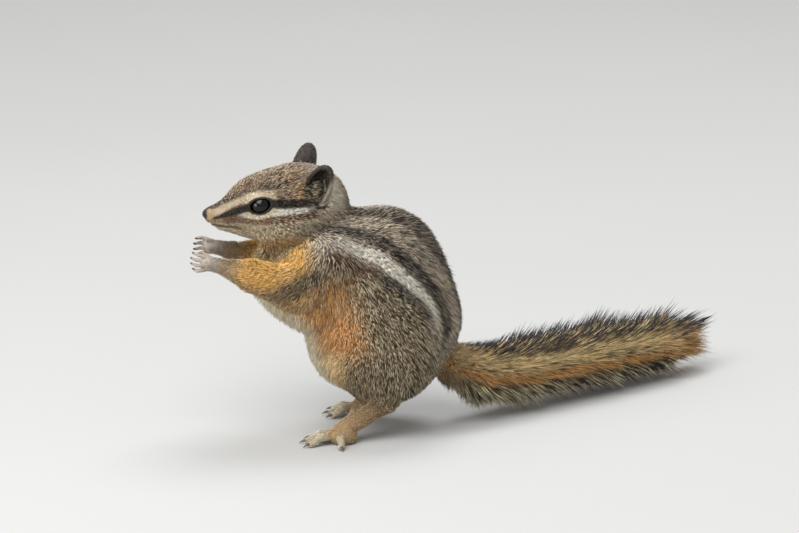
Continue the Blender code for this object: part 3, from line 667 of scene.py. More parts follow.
def head_marking(points):
    """(colours, grizzle) of the head, and of the neck as far as the head's stripes reach."""
    forward, left, up = to_head(points).T
    beside = np.abs(left)
    # the eye's dark line, the pale stripes on both sides of it and the dark edges outside them
    rear = smooth(-8.0, -6.0, forward)
    rufous = band(up, read(RUFOUS_LINE, forward), 1.05) * rear * smooth(18.5, 16, forward)
    edge = band(up, read(BROW_LINE, forward), 0.55) * smooth(-6, -3, forward) * smooth(21, 19, forward)
    brow = band(up, read(BROW_STRIPE, forward), 0.75) * smooth(20.5, 19, forward)
    white = band(up, read(UNDER_EYE, forward), 0.85) * smooth(14.5, 12.5, forward) * rear
    line = band(up, read(EYE_LINE, forward), read(EYE_LINE_HALF, forward))
    line = line * smooth(-5.8, -4.4, forward) * smooth(21, 19.5, forward)
    lids = lid_edge(points)
    ring = smooth(1.9, 1.3, lids)
    patch = np.exp(-(((forward + 12.6) / 3.2) ** 2) - ((up - 1.5) / 4.6) ** 2) * smooth(3, 6, beside)
    patch = np.minimum(1, 1.6 * patch)
    in_ear = np.minimum(*[ear_inside(side)(points) for side in BOTH_SIDES])
    ridge = smooth(1.3, 0.4, beside) * smooth(13, 18, forward) * smooth(0, 1, up)
    colours = layered(
        filled(CROWN, points),
        (CHEEK, smooth(-1.0, -3.0, up)),
        (CHIN, smooth(-5.0, -7.5, up + 0.25 * (15 - forward)) * smooth(4, 10, forward)),
        (THROAT, smooth(-5.5, -9.0, up - 0.15 * forward) * smooth(11, 5, forward) * 0.8),
        (NAPE, smooth(-3, -9, forward) * smooth(1, 5, up)),
        (MUZZLE, smooth(15.5, 18.5, forward) * band(up, 0.4, 1.6, 0.8)),
        (EAR_BASE, band(forward, -3.4, 2.9, 1.8) * band(up, 5.6, 3.4, 1.8) * smooth(3, 5, beside)),
        (RUFOUS, rufous * 0.95),
        (BROW_DARK, edge * 0.8),
        (BROW_CREAM, brow * (0.12 + 0.88 * smooth(1, 6, forward)) * smooth(-5, -2, forward)),
        (FACE_WHITE, white),
        (EYE_BLACK, line),
        (BROW_CREAM, ring * (1 - line)),
        (EYE_BLACK, smooth(LID_RIM + 0.25, LID_RIM, lids)),
        (BEHIND_EAR, patch),
        (EAR_DARK, smooth(0.9, 0.2, in_ear) * 0.85),
        (NOSE_SKIN, ridge * 0.8),
    )
    smoothed = [line, white, brow * smooth(0, 5, forward), ring, 0.6 * patch]
    return colours, 1 - 0.8 * np.maximum.reduce(smoothed)


def trunk_marking(points):
    """(colours, grizzle) of the trunk, with the stripes along its back."""
    x, z = points[:, 0], points[:, 2]
    left = left_of_middle(points)
    angle = back_angle(points)
    angle = np.where(angle < -150, angle + 360, angle)
    inwards = np.maximum(read(BACK_RADIUS, angle) - np.hypot(x - BACK_CENTRE[0], z - BACK_CENTRE[1]), 0)
    across = np.hypot(left - read(DORSAL_SHIFT, angle), inwards)
    # the flank, orange towards the front, and the pale belly
    front = smooth(9.0, -2.0, x + 0.25 * (z - 35))
    belly = smooth(11.5, 6.0, np.abs(left) + 0.35 * np.maximum(x + 2, 0))
    belly = belly * smooth(8, 2, x) * smooth(47, 42, z)
    # the back's stripes, from the dorsal line outwards
    back = smooth(-44, -20, angle) * smooth(142, 124, angle)
    saddle = smooth(0.4, -0.4, across - read(GREY_STRIPE, angle) + 2.4) * back
    dark = band(across, read(DARK_STRIPE, angle), 1.6, 0.5) * back
    white = band(across, read(WHITE_STRIPE, angle), read(WHITE_HALF, angle), 0.4) * back
    white = white * smooth(-22, -8, angle) * (1 - 0.65 * smooth(104, 122, angle))
    side = band(across, read(SIDE_STRIPE, angle), 1.5, 0.7) * back * smooth(-26, -6, angle)
    rust = smooth(60, 100, angle)
    colours = layered(
        filled(HAUNCH, points),
        (FLANK, front * smooth(24, 32, z)),
        (FLANK_LOW, front * band(z, 29, 5, 4) * 0.8),
        (BELLY_BUFF, smooth(3, -3, x) * smooth(27, 21, z)),
        (BELLY_CREAM, belly),
        (SHOULDER_GREY, smooth(44, 50, z) * smooth(8, 2, x)),
        (CHEST, smooth(-7, -13, x) * smooth(38, 43, z)),
        (SADDLE_GREY, smooth(1.0, -1.0, across - read(SIDE_STRIPE, angle)) * back),
        (STRIPE_DARK, side * (1 - rust) * 0.85),
        (STRIPE_RUST, side * rust * 0.9),
        (STRIPE_WHITE, white),
        (STRIPE_DARK, dark * 0.95),
        (SADDLE_DARK, saddle),
    )
    grizzle = 1 - 0.75 * np.maximum(belly, 0.6 * front)
    grizzle *= 1 - 0.7 * np.maximum.reduce([white, dark * 0.7, side * 0.5, saddle * 0.5])
    return colours, grizzle


# The dark patch from the elbow to the shoulder, partly dark fur and partly painted shadow along the arm's
# lower rear edge: its middle from the elbow, slope and half sizes.
ARM_SHADE_AT, ARM_SHADE_SLOPE, ARM_SHADE_SIZE = (1.0, 0, 1.6), 0.43, (8.5, 2.9)


def arm_marking(points, normals, side):
    """(colours, grizzle) of an arm, from the trunk's marking at its shoulder to the hand's skin."""
    _, elbow, wrist, _ = (np.array(p) for p in ARM[side])
    length = np.linalg.norm(wrist - elbow)
    share = (points - elbow) @ ((wrist - elbow) / length) / length
    # darker where the arm faces down, as painted shade
    below = smooth(0.1, -0.6, normals[:, 2])
    upper = smooth(-11.5, -5.5, points[:, 0])
    # the dark patch is partly dark fur and partly painted shadow
    away = points - elbow - ARM_SHADE_AT
    rise = (away[:, 2] - ARM_SHADE_SLOPE * away[:, 0]) / ARM_SHADE_SIZE[1]
    shade = np.exp(-((away[:, 0] / ARM_SHADE_SIZE[0]) ** 2) - rise**2) * smooth(-3, 1, -side * away[:, 1])
    colours = layered(
        filled(ARM_ORANGE, points),
        (ARM_UNDER_PAINTED_SHADE, below * 0.9),
        (trunk_marking(points)[0], upper),
        (ARM_DARK_FUR_AND_SHADOW, np.minimum(0.85, 1.3 * shade)),
        (WRIST, smooth(0.6, 0.9, share)),
        (HAND, smooth(0.92, 1.04, share)),
        # painted shade on the hand where it faces sideways and down
        (HAND_PAINTED_SHADE, smooth(1.0, 1.15, share) * smooth(0.35, -0.35, normals[:, 2]) * 0.8),
    )
    return colours, (0.45 + np.maximum(0.3 * below, 0.5 * upper)) * smooth(1.0, 0.8, share)


def leg_marking(points, side):
    """(colours, grizzle) of the foot, up to the shank."""
    z, ball = points[:, 2], LEG[side][BALL]
    out = np.hypot(points[:, 0] - ball.x, points[:, 1] - ball.y)
    colours = layered(
        filled(FOOT, points),
        (SHANK, smooth(4, 10, z)),
        (TOE, smooth(2.0, 6.0, out) * smooth(3, 1, points[:, 0] - ball.x)),
        (BARE_SKIN, smooth(0.5, 0.15, z)),
    )
    return colours, np.full(len(points), 0.7)


def ear_marking(points, side):
    """(colours, grizzle) of an ear: dark inside and paler at its rim and back."""
    out, across, up = to_ear(points, side).T
    inner = smooth(0.15, -0.05, ear_inside(side)(points))
    colours = layered(
        filled(EAR_BACK, points),
        (EAR_DARK, inner),
        (EAR_BASE, inner * smooth(-1.0, -3.5, up) * 0.6),
        (EAR_RIM, smooth(EAR_DEPTH - 0.7, EAR_DEPTH - 0.1, out) * 0.8),
        (EAR_EDGE, smooth(2.2, 3.6, side * across) * (1 - inner) * 0.9),
    )
    return colours, np.full(len(points), 0.4)


HEAD, TRUNK, ARMS, LEGS, EARS, TAIL = range(6)


def part_distances():
    """For each part of the body and side of it, the distance from its own skin."""
    yield HEAD, LEFT, inset(blended(head_shapes()), 1.0)
    yield TRUNK, LEFT, blended(trunk_shapes(TRUNK_DEPTH))
    for side in BOTH_SIDES:
        yield ARMS, side, blended(arm_shapes(side, ARM_DEPTHS), [(blended(hand_shapes(side)), 0)])
        yield LEGS, side, blended(foot_shapes(side))
        yield TRUNK, side, blended(leg_shapes(side, *LEG_DEPTHS))
        yield EARS, side, both(ear_shape(side), clear_of(blended(head_shapes()), 0))
    yield TAIL, LEFT, tail_shape()


SKIN_PARTS = list(part_distances())
SEAM = 1.6  # how far apart two parts' distances are where one's marking gives way to the other's


def marking(points, normals):
    """(colours, grizzle, part, side) of the coat at points on the skin."""
    distances = np.array([field(points) for _, _, field in SKIN_PARTS])
    nearest = distances.min(0)
    shares = np.clip(1 - (distances - nearest) / SEAM, 0, 1) ** 2
    neck = smooth(-3.0, 4.0, (points - np.array(NECK_AT)) @ np.array(NECK_WAY))
    head, trunk = head_marking(points), trunk_marking(points)
    torso = over(trunk[0], head[0], neck), trunk[1] + (head[1] - trunk[1]) * neck
    colours, grizzle = np.zeros((len(points), 3)), np.zeros(len(points))
    for (part, side, _), share in zip(SKIN_PARTS, shares):
        if part in (HEAD, TRUNK):
            found = torso
        elif part == ARMS:
            found = arm_marking(points, normals, side)
        elif part == LEGS:
            found = leg_marking(points, side)
        elif part == EARS:
            found = ear_marking(points, side)
        else:
            found = filled(TAIL_BROWN, points), np.ones(len(points))
        colours += found[0] * share[:, None]
        grizzle += found[1] * share
    total = shares.sum(0)
    which = distances.argmin(0)
    parts = np.array([part for part, _, _ in SKIN_PARTS])[which]
    sides = np.array([side for _, side, _ in SKIN_PARTS])[which]
    parts = np.where((parts == HEAD) | (parts == TRUNK), np.where(neck > 0.5, HEAD, TRUNK), parts)
    return colours / total[:, None], grizzle / total, parts, sides


NECK_AT, NECK_WAY = Vector((-9.5, 12.0, 56.5)), Vector((-0.49, -0.03, 0.872)).normalized()


def from_nose(points):
    return np.linalg.norm(points - np.array(on_head(*NOSE_PAD_AT)), axis=1)


def bare_places(points):
    """1 where the skin has no hair: nose, lips, lid rims and soles."""
    nose = smooth(NOSE_PAD_RADIUS + 0.2, NOSE_PAD_RADIUS - 0.1, from_nose(points))
    lids = smooth(LID_RIM + 0.15, LID_RIM, lid_edge(points))
    sockets = (from_eyes(points) < EYE_RADIUS + EYE_GAP + 0.15).astype(float)
    mouth = smooth(0.75, 0.55, MOUTH_LINE(points))
    soles = smooth(0.35, 0.15, points[:, 2])
    return np.maximum.reduce([nose, lids, sockets, mouth, soles])


def skin_colours(points, normals):
    """The skin's colour: the coat's marking, darkened as painted shade under the coat, and bare skin where no
    hair grows.
    """
    hands = np.min([blended(hand_shapes(side))(points) for side in BOTH_SIDES], axis=0)
    # the marking is halved as painted shade under the coat
    return layered(
        marking(points, normals)[0] * 0.5,
        (NOSE_SKIN, smooth(NOSE_PAD_RADIUS + 0.3, NOSE_PAD_RADIUS, from_nose(points))),
        (LID_SKIN, smooth(LID_RIM + 0.2, LID_RIM, lid_edge(points))),
        (NOSE_SKIN, smooth(0.75, 0.5, MOUTH_LINE(points)) * 0.8),
        (HAND, smooth(0.6, 0.1, hands) * 0.75),
    )


SKIN_STEP, SKIN_KEPT = ((0.4, 0.26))
SKIN_BOX = (-43.0, -9.0, -0.6), (96.5, 73.5, 78.5)
PAIRS = ("ear", "upper_arm", "forearm", "hand", "thigh", "foot")
FLESH = ["head", "neck", "torso", *(f"{part}_{side}" for part in PAIRS for side in ("left", "right"))]
FLESH += [f"tail_{n}" for n in (1, 2, 3, 4)]


def with_inputs(node, values):
    """The node with its inputs set, by their labels."""
    for label, value in values.items():
        node.inputs[label].default_value = value
    return node


def new_material(name, values):
    """(material, nodes, links, shader) with the shader's inputs set."""
    material = bpy.data.materials.new(name)
    material.use_nodes = True
    tree = material.node_tree
    return material, tree.nodes, tree.links, with_inputs(tree.nodes["Principled BSDF"], values)


def marking_output(nodes):
    """The colours that are stored at the mesh's points."""
    node = nodes.new("ShaderNodeAttribute")
    node.attribute_name = "marking"
    return node.outputs["Color"]


def skin_material():
    """Skin under the coat: the stored colour, the marking darkened as painted shade, with a fine, uneven
    grain.
    """
    material, nodes, links, shader = new_material("skin", {"Roughness": 0.62, "Specular IOR Level": 0.3})
    grain = with_inputs(nodes.new("ShaderNodeTexNoise"), {"Scale": 2600, "Detail": 3})
    shade = with_inputs(nodes.new("ShaderNodeMapRange"), {"To Min": 0.8, "To Max": 1.15})
    mixed = nodes.new("ShaderNodeMix")
    mixed.data_type, mixed.blend_type = "RGBA", "MULTIPLY"
    mixed.inputs["Factor"].default_value = 1
    bump = with_inputs(nodes.new("ShaderNodeBump"), {"Strength": 0.5, "Distance": 0.0001})
    links.new(grain.outputs["Fac"], shade.inputs["Value"])
    links.new(marking_output(nodes), mixed.inputs["A"])
    links.new(shade.outputs["Result"], mixed.inputs["B"])
    links.new(mixed.outputs["Result"], shader.inputs["Base Color"])
    links.new(grain.outputs["Fac"], bump.inputs["Height"])
    links.new(bump.outputs["Normal"], shader.inputs["Normal"])
    return material


def triples(items, label, kind=np.float32):
    """The three values with this label of each of a mesh's items."""
    values = np.empty(len(items) * 3, kind)
    items.foreach_get(label, values)
    return values.reshape(-1, 3)


def make_skin():
    """The one skin of the whole animal, and its points, normals and triangles for the coat."""
    points, triangles = contoured(skin_field(), *SKIN_BOX, SKIN_STEP)
    obj = placed("skin", mesh_from("skin", points, triangles))
    fewer = obj.modifiers.new("fewer", "DECIMATE")
    fewer.ratio = SKIN_KEPT
    graph = bpy.context.evaluated_depsgraph_get()
    mesh = bpy.data.meshes.new_from_object(obj.evaluated_get(graph))
    obj.modifiers.clear()
    obj.data = mesh
    mesh.shade_smooth()
    points = triples(mesh.vertices, "co").astype(float) / MM
    normals = triples(mesh.vertex_normals, "vector").astype(float)
    mesh.calc_loop_triangles()
    coloured(mesh, skin_colours(points, normals))
    mesh.materials.append(skin_material())
    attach(obj, "root")
    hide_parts(*FLESH)
    return points, normals, triples(mesh.loop_triangles, "vertices", np.int32)


# The lie of the coat: the way that hair points at places on the head and the trunk. Places and
# ways are forward, left, up on the head and x, left, z on the trunk. Both sides follow them.
# Guides count for less the farther they are, by the square of their squared distance and this:
LIE_SOFTNESS = 3.0
# How strongly the coat lies away from the eye near its rim, and how far out.
EYE_LIE, EYE_LIE_REACH = 1.3, 1.6
HEAD_LIE = (
    ((21, 0, 1.5), (-1, 0, 0.35)),
    ((19, 2, -1), (-1, 0.25, -0.1)),
    ((10, 0, 8), (-1, 0, 0.15)),
    ((-2, 0, 11), (-1, 0, 0)),
    ((-10, 0, 9), (-1, 0, -0.35)),
    ((8, 7, 6), (-1, 0.15, 0.1)),
    ((8, 8, -1), (-1, 0.2, -0.12)),
    ((2, 10, 2), (-1, 0.1, 0)),
    ((2, 11, -4), (-0.9, 0.1, -0.45)),
    ((10, 5, -5), (-1, 0.2, -0.35)),
    ((14, 0, -5), (-1, 0, -0.2)),
    ((2, 0, -11), (-0.8, 0, -0.6)),
    ((-7, 10, -3), (-0.7, 0, -0.7)),
    ((-12, 8, 3), (-0.85, 0, -0.5)),
)
TRUNK_LIE = (
    ((-4, 0, 62), (1, 0, -0.15)),
    ((6, 0, 61), (1, 0, 0)),
    ((18, 0, 57), (0.85, 0, -0.6)),
    ((27, 0, 47), (0.45, 0, -0.9)),
    ((31, 0, 33), (0.12, 0, -1)),
    ((30, 0, 20), (0.55, 0, -0.85)),
    ((0, 14, 53), (0.45, 0, -0.9)),
    ((8, 15, 47), (0.8, 0, -0.65)),
    ((16, 15, 42), (0.7, 0, -0.75)),
    ((-2, 14, 38), (0.35, 0, -0.95)),
    ((6, 17, 34), (0.65, 0, -0.8)),
    ((20, 17, 26), (0.5, 0, -0.85)),
    ((8, 17, 18), (0.1, 0, -1)),
    ((22, 14, 12), (0.5, 0, -0.8)),
    ((-6, 8, 26), (-0.25, 0.1, -1)),
    ((-8, 0, 22), (-0.35, 0, -1)),
    ((-16, 0, 38), (-0.2, 0, -1)),
    ((-22, 0, 46), (-0.2, 0, -1)),
    ((-8, 12, 32), (-0.1, 0, -1)),
    ((4, 12, 12), (-0.2, 0, -1)),
)


def lie_guides():
    """(places, ways) of all the guides for the head, trunk, arms and legs, in the row frame."""
    guides = []
    for side in BOTH_SIDES:
        for place, way in HEAD_LIE:
            guides.append((beside_head(place, side), head_way(way, side)))
        for (x, left, z), (dx, dleft, dz) in TRUNK_LIE:
            guides.append((on_trunk(x, side * left, z), Vector((dx, -side * dleft, dz))))
        shoulder, elbow, wrist, palm = ARM[side]
        out = Vector((0, -side * 5, 0))
        _, knee, heel, ball = LEG[side]
        guides += [
            (shoulder + out, (elbow - shoulder).normalized() + Vector((0.2, 0, -0.6))),
            (elbow + out, Vector((-0.75, 0, -0.6))),
            (elbow.lerp(wrist, 0.5) + out * 0.5, Vector((-1, 0, -0.25))),
            (wrist, wrist - elbow),
            (palm, wrist - elbow),
            (knee.lerp(heel, 0.6) + out * 0.5, Vector((-0.1, 0, -1))),
            (heel, ball - heel),
            (ball, Vector((-1, 0, -0.2))),
        ]
    places = np.array([np.array(p) for p, _ in guides])
    ways = np.array([np.array(w.normalized()) for _, w in guides])
    return places, ways


def tail_coords(points):
    """(nearest place on the tail's path, way back along it, run from the rump, coat's radius)."""
    path = np.array(TAIL_PATH)
    lengths = np.linalg.norm(np.diff(path, axis=0), axis=1)
    starts = np.concatenate([[0], np.cumsum(lengths)])
    best = np.full(len(points), np.inf)
    run, middle = np.zeros(len(points)), np.zeros((len(points), 3))
    for n, (a, b) in enumerate(zip(path, path[1:])):
        t = np.clip((points - a) @ (b - a) / lengths[n] ** 2, 0, 1)
        near = a + t[:, None] * (b - a)
        away = np.linalg.norm(points - near, axis=1)
        closer = away < best
        best = np.where(closer, away, best)
        run = np.where(closer, starts[n] + t * lengths[n], run)
        middle = np.where(closer[:, None], near, middle)
    ahead, behind = (
        np.stack([np.interp(run + step, starts, path[:, k]) for k in range(3)], -1) for step in (3, -3)
    )
    return middle, unit(ahead - behind), run, np.interp(run, starts, TAIL_RADII)


def unit(vectors):
    return vectors / np.maximum(np.linalg.norm(vectors, axis=1), 1e-9)[:, None]


def along_skin(ways, normals):
    """The ways laid flat on the skin."""
    return unit(ways - normals * (ways * normals).sum(1)[:, None] + 1e-6)


def lie_of(points, normals, parts):
    """The unit way along the skin that the coat lies at each point."""
    found = np.zeros_like(points)
    for place, way in zip(*lie_guides()):
        away = ((points - place) ** 2).sum(1)
        found += way / ((away + LIE_SOFTNESS) ** 2)[:, None]
    found = unit(found)
    for side in BOTH_SIDES:
        look = head_way(EYE_LOOKS, side).normalized()
        out = points - np.array(eye_place(side))
        near = EYE_LIE * np.exp(-(((np.linalg.norm(out, axis=1) - EYE_RADIUS) / EYE_LIE_REACH) ** 2))
        found += unit(out - np.outer(out @ np.array(look), look)) * near[:, None]
    _, back, _, _ = tail_coords(points)
    return along_skin(np.where((parts == TAIL)[:, None], back, found), normals)


def ear_lie(normals, sides):
    """Hair on the ears points to their rims."""
    return along_skin(np.array([np.array(ear_frame(side)[1].col[2]) for side in sides]), normals)


# For each part: tufts for each square millimetre, their width, how steeply they leave the skin and
# end, in degrees, how much their ways differ, and how far their tips gather into clumps.
TUFTS = {
    HEAD: (24.0, 0.19, (48, 26), 0.26, 0.38),
    TRUNK: (13.5, 0.25, (56, 30), 0.32, 0.35),
    ARMS: (15.0, 0.18, (48, 22), 0.26, 0.3),
    LEGS: (15.0, 0.15, (40, 16), 0.26, 0.3),
    EARS: (16.0, 0.1, (30, 10), 0.3, 0.1),
    TAIL: (22.0, 0.2, (66, 40), 0.14, 0.35),
}
SHORTEST, LONGEST = {HEAD: 0.22, TRUNK: 0.9, ARMS: 0.16, LEGS: 0.24, EARS: 0.16, TAIL: 0.6}, 3.2
PIECE_TRIANGLES = 195000
CLUMP_SIZE, CLUMP_PULLS = 5, (0.5, 1.2)  # tufts in a clump, and how much clumps' pulls differ
ROOT_SUNK = 0.12  # how far under the skin tufts begin
# Where along a tuft its bends are, its widths there, and how much lengths and widths differ.
BODY_BENDS, TAIL_BENDS = (0, 0.5, 1), (0, 0.3, 0.62, 1)
BODY_THICK, TAIL_THICK = (1.0,), (0.9, 1.0)
LENGTHS_DIFFER, WIDTHS_DIFFER = (0.78, 1.04), (0.75, 1.25)


def roots_on(points, normals, triangles, draw):
    """Random places on the skin with a density of its own for each part of the body."""
    corners = points[triangles]
    areas = np.linalg.norm(np.cross(corners[:, 1] - corners[:, 0], corners[:, 2] - corners[:, 0]), axis=1) / 2
    middles = corners.mean(1)
    facing = unit(normals[triangles].mean(1))
    _, _, parts, _ = marking(middles, facing)
    density = np.array([TUFTS[part][0] for part in sorted(TUFTS)])[parts] * (1 - bare_places(middles))
    total = areas * density
    count = int(total.sum())
    which = np.searchsorted(np.cumsum(total), draw.random(count) * total.sum())
    which = np.minimum(which, len(triangles) - 1)
    u, v = draw.random(count), draw.random(count)
    flip = u + v > 1
    u, v = np.where(flip, 1 - u, u), np.where(flip, 1 - v, v)
    weights = np.stack([1 - u - v, u, v], -1)[:, :, None]
    places = (corners[which] * weights).sum(1)
    ways = unit((normals[triangles[which]] * weights).sum(1))
    return places, ways


def tuft_paths(roots, normals, ways, rises, steep, flat, shares):
    """The places that each tuft passes, from just under the skin to its tip."""
    slopes = [np.radians(steep + (flat - steep) * s) for s in shares]
    middles = [(a + b) / 2 for a, b in zip(slopes, slopes[1:])]
    parts = np.diff(shares)
    climb = sum(p * np.sin(m) for p, m in zip(parts, middles))
    lengths = rises / climb
    places = [roots - normals * ROOT_SUNK]
    at = roots
    for part, middle in zip(parts, middles):
        ahead, outwards = np.cos(middle) * lengths * part, np.sin(middle) * lengths * part
        at = at + ways * ahead[:, None] + normals * outwards[:, None]
        places.append(at)
    return np.stack(places, 1)


def gathered(paths, pull, draw):
    """The tufts with their outer ends drawn towards one tuft of each clump."""
    count = len(paths)
    heads = draw.permutation(count)[: max(1, count // CLUMP_SIZE)]
    tree = kdtree.KDTree(len(heads))
    for n, head in enumerate(heads):
        tree.insert(paths[head, 0], n)
    tree.balance()
    clump = np.array([tree.find(root)[1] for root in paths[:, 0]])
    leaders = paths[heads[clump]]
    strength = pull * draw.uniform(*CLUMP_PULLS, len(heads))[clump]
    stations = paths.shape[1]
    for n in range(1, stations):
        share = (n / (stations - 1)) ** 1.5
        paths[:, n] += (leaders[:, n] - paths[:, n]) * (strength * share)[:, None]
    return paths, clump


def tube_faces(rings, sides, first, start, end):
    """The triangles of a closed tube: rings of points from the first on, and a point at each end."""
    round_it = [(k, (k + 1) % sides) for k in range(sides)]
    last = first + (rings - 1) * sides
    faces = [(start, first + m, first + k) for k, m in round_it]
    for a in range(first, last, sides):
        b = a + sides
        for k, m in round_it:
            faces += [(a + k, a + m, b + m), (a + k, b + m, b + k)]
    return np.array(faces + [(last + k, last + m, end) for k, m in round_it])


def tuft_mesh(name, paths, widths, shares, colours, patches):
    """One mesh of closed, tapered tufts, three-sided between their ends, as one piece of coat."""
    count, stations = paths.shape[:2]
    rings = stations - 2
    steps = np.diff(paths, axis=1)
    across = unit(np.cross(steps[:, 0], steps[:, -1]) + np.cross(steps[:, 0], (0.01, 0.02, 1.0)))
    points = [paths[:, :1]]
    for n in range(1, rings + 1):
        way = unit(steps[:, n - 1] + steps[:, min(n, stations - 2)])
        beside = unit(across - way * (across * way).sum(1)[:, None])
        over_it = np.cross(beside, way)
        wide = (widths * shares[n - 1] / 2)[:, None]
        ring = [paths[:, n] + beside * wide, paths[:, n] - beside * wide, paths[:, n] + over_it * wide]
        points.append(np.stack(ring, 1))
    points = np.concatenate([*points, paths[:, -1:]], 1)
    each = points.shape[1]
    faces = tube_faces(rings, 3, 1, 0, each - 1)
    if np.linalg.det((points[0] - points[0, 0])[faces]).sum() < 0:
        faces = faces[:, ::-1]
    triangles = (faces[None] + (np.arange(count) * each)[:, None, None]).reshape(-1, 3)
    mesh = mesh_from(name, points.reshape(-1, 3), triangles)
    station_of = np.array([0] + [n + 1 for n in range(rings) for _ in range(3)] + [stations - 1])
    coloured(mesh, colours[:, station_of].reshape(-1, 3))
    spots = np.array([(0, -1)] + [(-1, 0), (1, 0), (0, 0.2)] * rings + [(0, 1)])
    uv = (patches[:, None] + spots * BAKE_PATCH / 2).reshape(-1, 2)
    layer = mesh.uv_layers.new(name="OFBake")
    layer.data.foreach_set("uv", uv[triangles.ravel()].astype(np.float32).ravel())
    return mesh


BAKE_PATCH, BAKE_MARGIN = 0.003, 0.01


def unwrapped(points, parts, sides):
    """Each point's place on an unwrap of the skin round the axis of its own part."""
    uv = np.zeros((len(points), 2))
    forward, left, up = to_head(points).T
    head = np.stack([np.arctan2(left, up), forward], -1)
    trunk = np.stack([np.arctan2(left_of_middle(points), points[:, 0] - 8), points[:, 2]], -1)
    uv[parts == HEAD], uv[parts == TRUNK] = head[parts == HEAD], trunk[parts == TRUNK]
    middle, back, run, _ = tail_coords(points)
    out = points - middle
    sideways = unit(np.cross(np.array((0, 0, 1.0)), back))
    tail = np.stack([np.arctan2((out * sideways).sum(1), out[:, 2]), run], -1)
    uv[parts == TAIL] = tail[parts == TAIL]
    for side in BOTH_SIDES:
        shift = 0 if side == LEFT else 2 * math.pi
        for part, joints in ((ARMS, ARM[side]), (LEGS, LEG[side][HEEL:])):
            start, end = np.array(joints[0]), np.array(joints[-1])
            way = unit((end - start)[None])[0]
            out = points - start
            away = out - (out @ way)[:, None] * way
            turned = np.arctan2(away[:, 1], away @ np.cross(way, (0, 1.0, 0)))
            chosen = (parts == part) & (sides == side)
            uv[chosen] = np.stack([turned + shift, out @ way], -1)[chosen]
        local = to_ear(points, side)
        inner = ear_inside(side)(points) < 0.1
        chosen = (parts == EARS) & (sides == side)
        spot = np.stack([local[:, 1] + 10 * inner + 20 * (side == RIGHT), local[:, 2]], -1)
        uv[chosen] = spot[chosen]
    return uv


def squared(uv):
    """The places stretched to fill the bake's square."""
    low, high = uv.min(0), uv.max(0)
    return BAKE_MARGIN + (uv - low) / (high - low) * (1 - 2 * BAKE_MARGIN)


def fur_material():
    """Hair: the stored colour, which carries painted shade at the roots, with a soft gloss."""
    material, nodes, links, shader = new_material("fur", {"Roughness": 0.55, "Specular IOR Level": 0.35})
    links.new(marking_output(nodes), shader.inputs["Base Color"])
    return material


# How much darker the coat is painted at its roots, as painted shade deep in the coat, and how its tips differ
# from tuft to tuft.
ROOT_PAINTED_SHADE, CLUMP_SHADE, TUFT_SHADE = 0.42, 0.17, 0.17
PALE_TIP, DARK_TIP = (0.88, 0.77, 0.57), (0.026, 0.02, 0.017)


def body_colours(base, grizzle, clump, draw):
    """The colours along each tuft of the body, from its root to its tip."""
    count = len(base)
    shade = 1 + CLUMP_SHADE * draw.standard_normal(clump.max() + 1)[clump]
    shade = np.clip(shade + TUFT_SHADE * draw.standard_normal(count), 0.45, 1.6)
    body = base * shade[:, None]
    pick = draw.random(count)
    dark = (pick < 0.4).astype(float) * grizzle
    pale = (pick > 0.66).astype(float) * grizzle
    middle = layered(body, (DARK_TIP, dark * 0.6), (PALE_TIP, pale * 0.5))
    tip = layered(body, (DARK_TIP, dark * 0.9), (PALE_TIP, pale * 0.85))
    # the roots are darkened as painted shade deep in the coat
    return np.stack([body * ROOT_PAINTED_SHADE, middle, tip * 1.05], 1)


def tail_colours(up_share, run, pick, draw):
    """The colours along each tuft of the tail, in bands that differ from its top to its bottom.

    Tufts with a low pick end dark and those with a high one end pale.
    """
    fringe, top = smooth(0.45, 0.8, up_share), smooth(0.0, 0.4, up_share)
    low, under = smooth(-0.34, -0.54, up_share), smooth(0.04, -0.16, up_share)
    side = (1 - top) * (1 - under)
    end, base = smooth(76, 84, run), (HAUNCH, smooth(12, 4, run) * 0.6)
    inner = layered(
        filled(TAIL_ORANGE, run),
        (TAIL_BUFF, top * 0.9 + side * 0.5),
        (TAIL_BROWN, (side + top * 0.5) * (pick < 0.35) * 0.8),
    )
    outer = layered(
        inner,
        (TAIL_BUFF, (side + top) * (pick > 0.5) * 0.8),
        (TAIL_BLACK, (side * 0.95 + top * 0.6 + under * 0.6) * (pick < 0.34)),
        (TAIL_BLACK, fringe * (pick < 0.22) * 0.95),
        (TAIL_BLACK, low * 0.97),
        (TAIL_BUFF, under * (1 - low) * (pick > 0.7) * 0.6),
        (TAIL_PALE, low * (pick > 0.88) * 0.9),
    )
    tip = layered(
        outer,
        (TAIL_BLACK, side * (pick < 0.3)),
        (TAIL_PALE, (side + top * 0.6) * (pick > 0.8) * 0.7),
        (TAIL_PALE, low * (pick > 0.84 - 0.24 * smooth(36, 24, run))),
        (TAIL_BLACK, fringe * (pick < 0.35)),
        (TAIL_BLACK, end * (pick < 0.6) * 0.9),
        base,
    )
    outer = layered(outer, (TAIL_ORANGE, end * (pick > 0.3) * 0.85), (TAIL_BLACK, end * (pick < 0.2)), base)
    # the roots are darkened by half as painted shade deep in the coat, then blended towards brown
    root = over(inner * 0.5, TAIL_BROWN, np.full(len(run), 0.4))
    shade = np.clip(1 + 0.2 * draw.standard_normal(len(run)), 0.55, 1.6)[:, None]
    return np.stack([root, inner * shade, outer * shade, tip * shade], 1)


def tail_reach(up_share, run, pick):
    """How much longer or shorter tufts are: dark ones on top and pale ones below reach furthest."""
    fringe, low = smooth(0.4, 0.8, up_share), smooth(-0.3, -0.6, up_share)
    dark, pale = (pick < 0.22).astype(float), (pick > 0.62).astype(float)
    root = smooth(34, 14, run)
    return 0.92 + fringe * (0.42 * dark - 0.26) + low * (0.3 * pale - 0.2 + 0.3 * root)


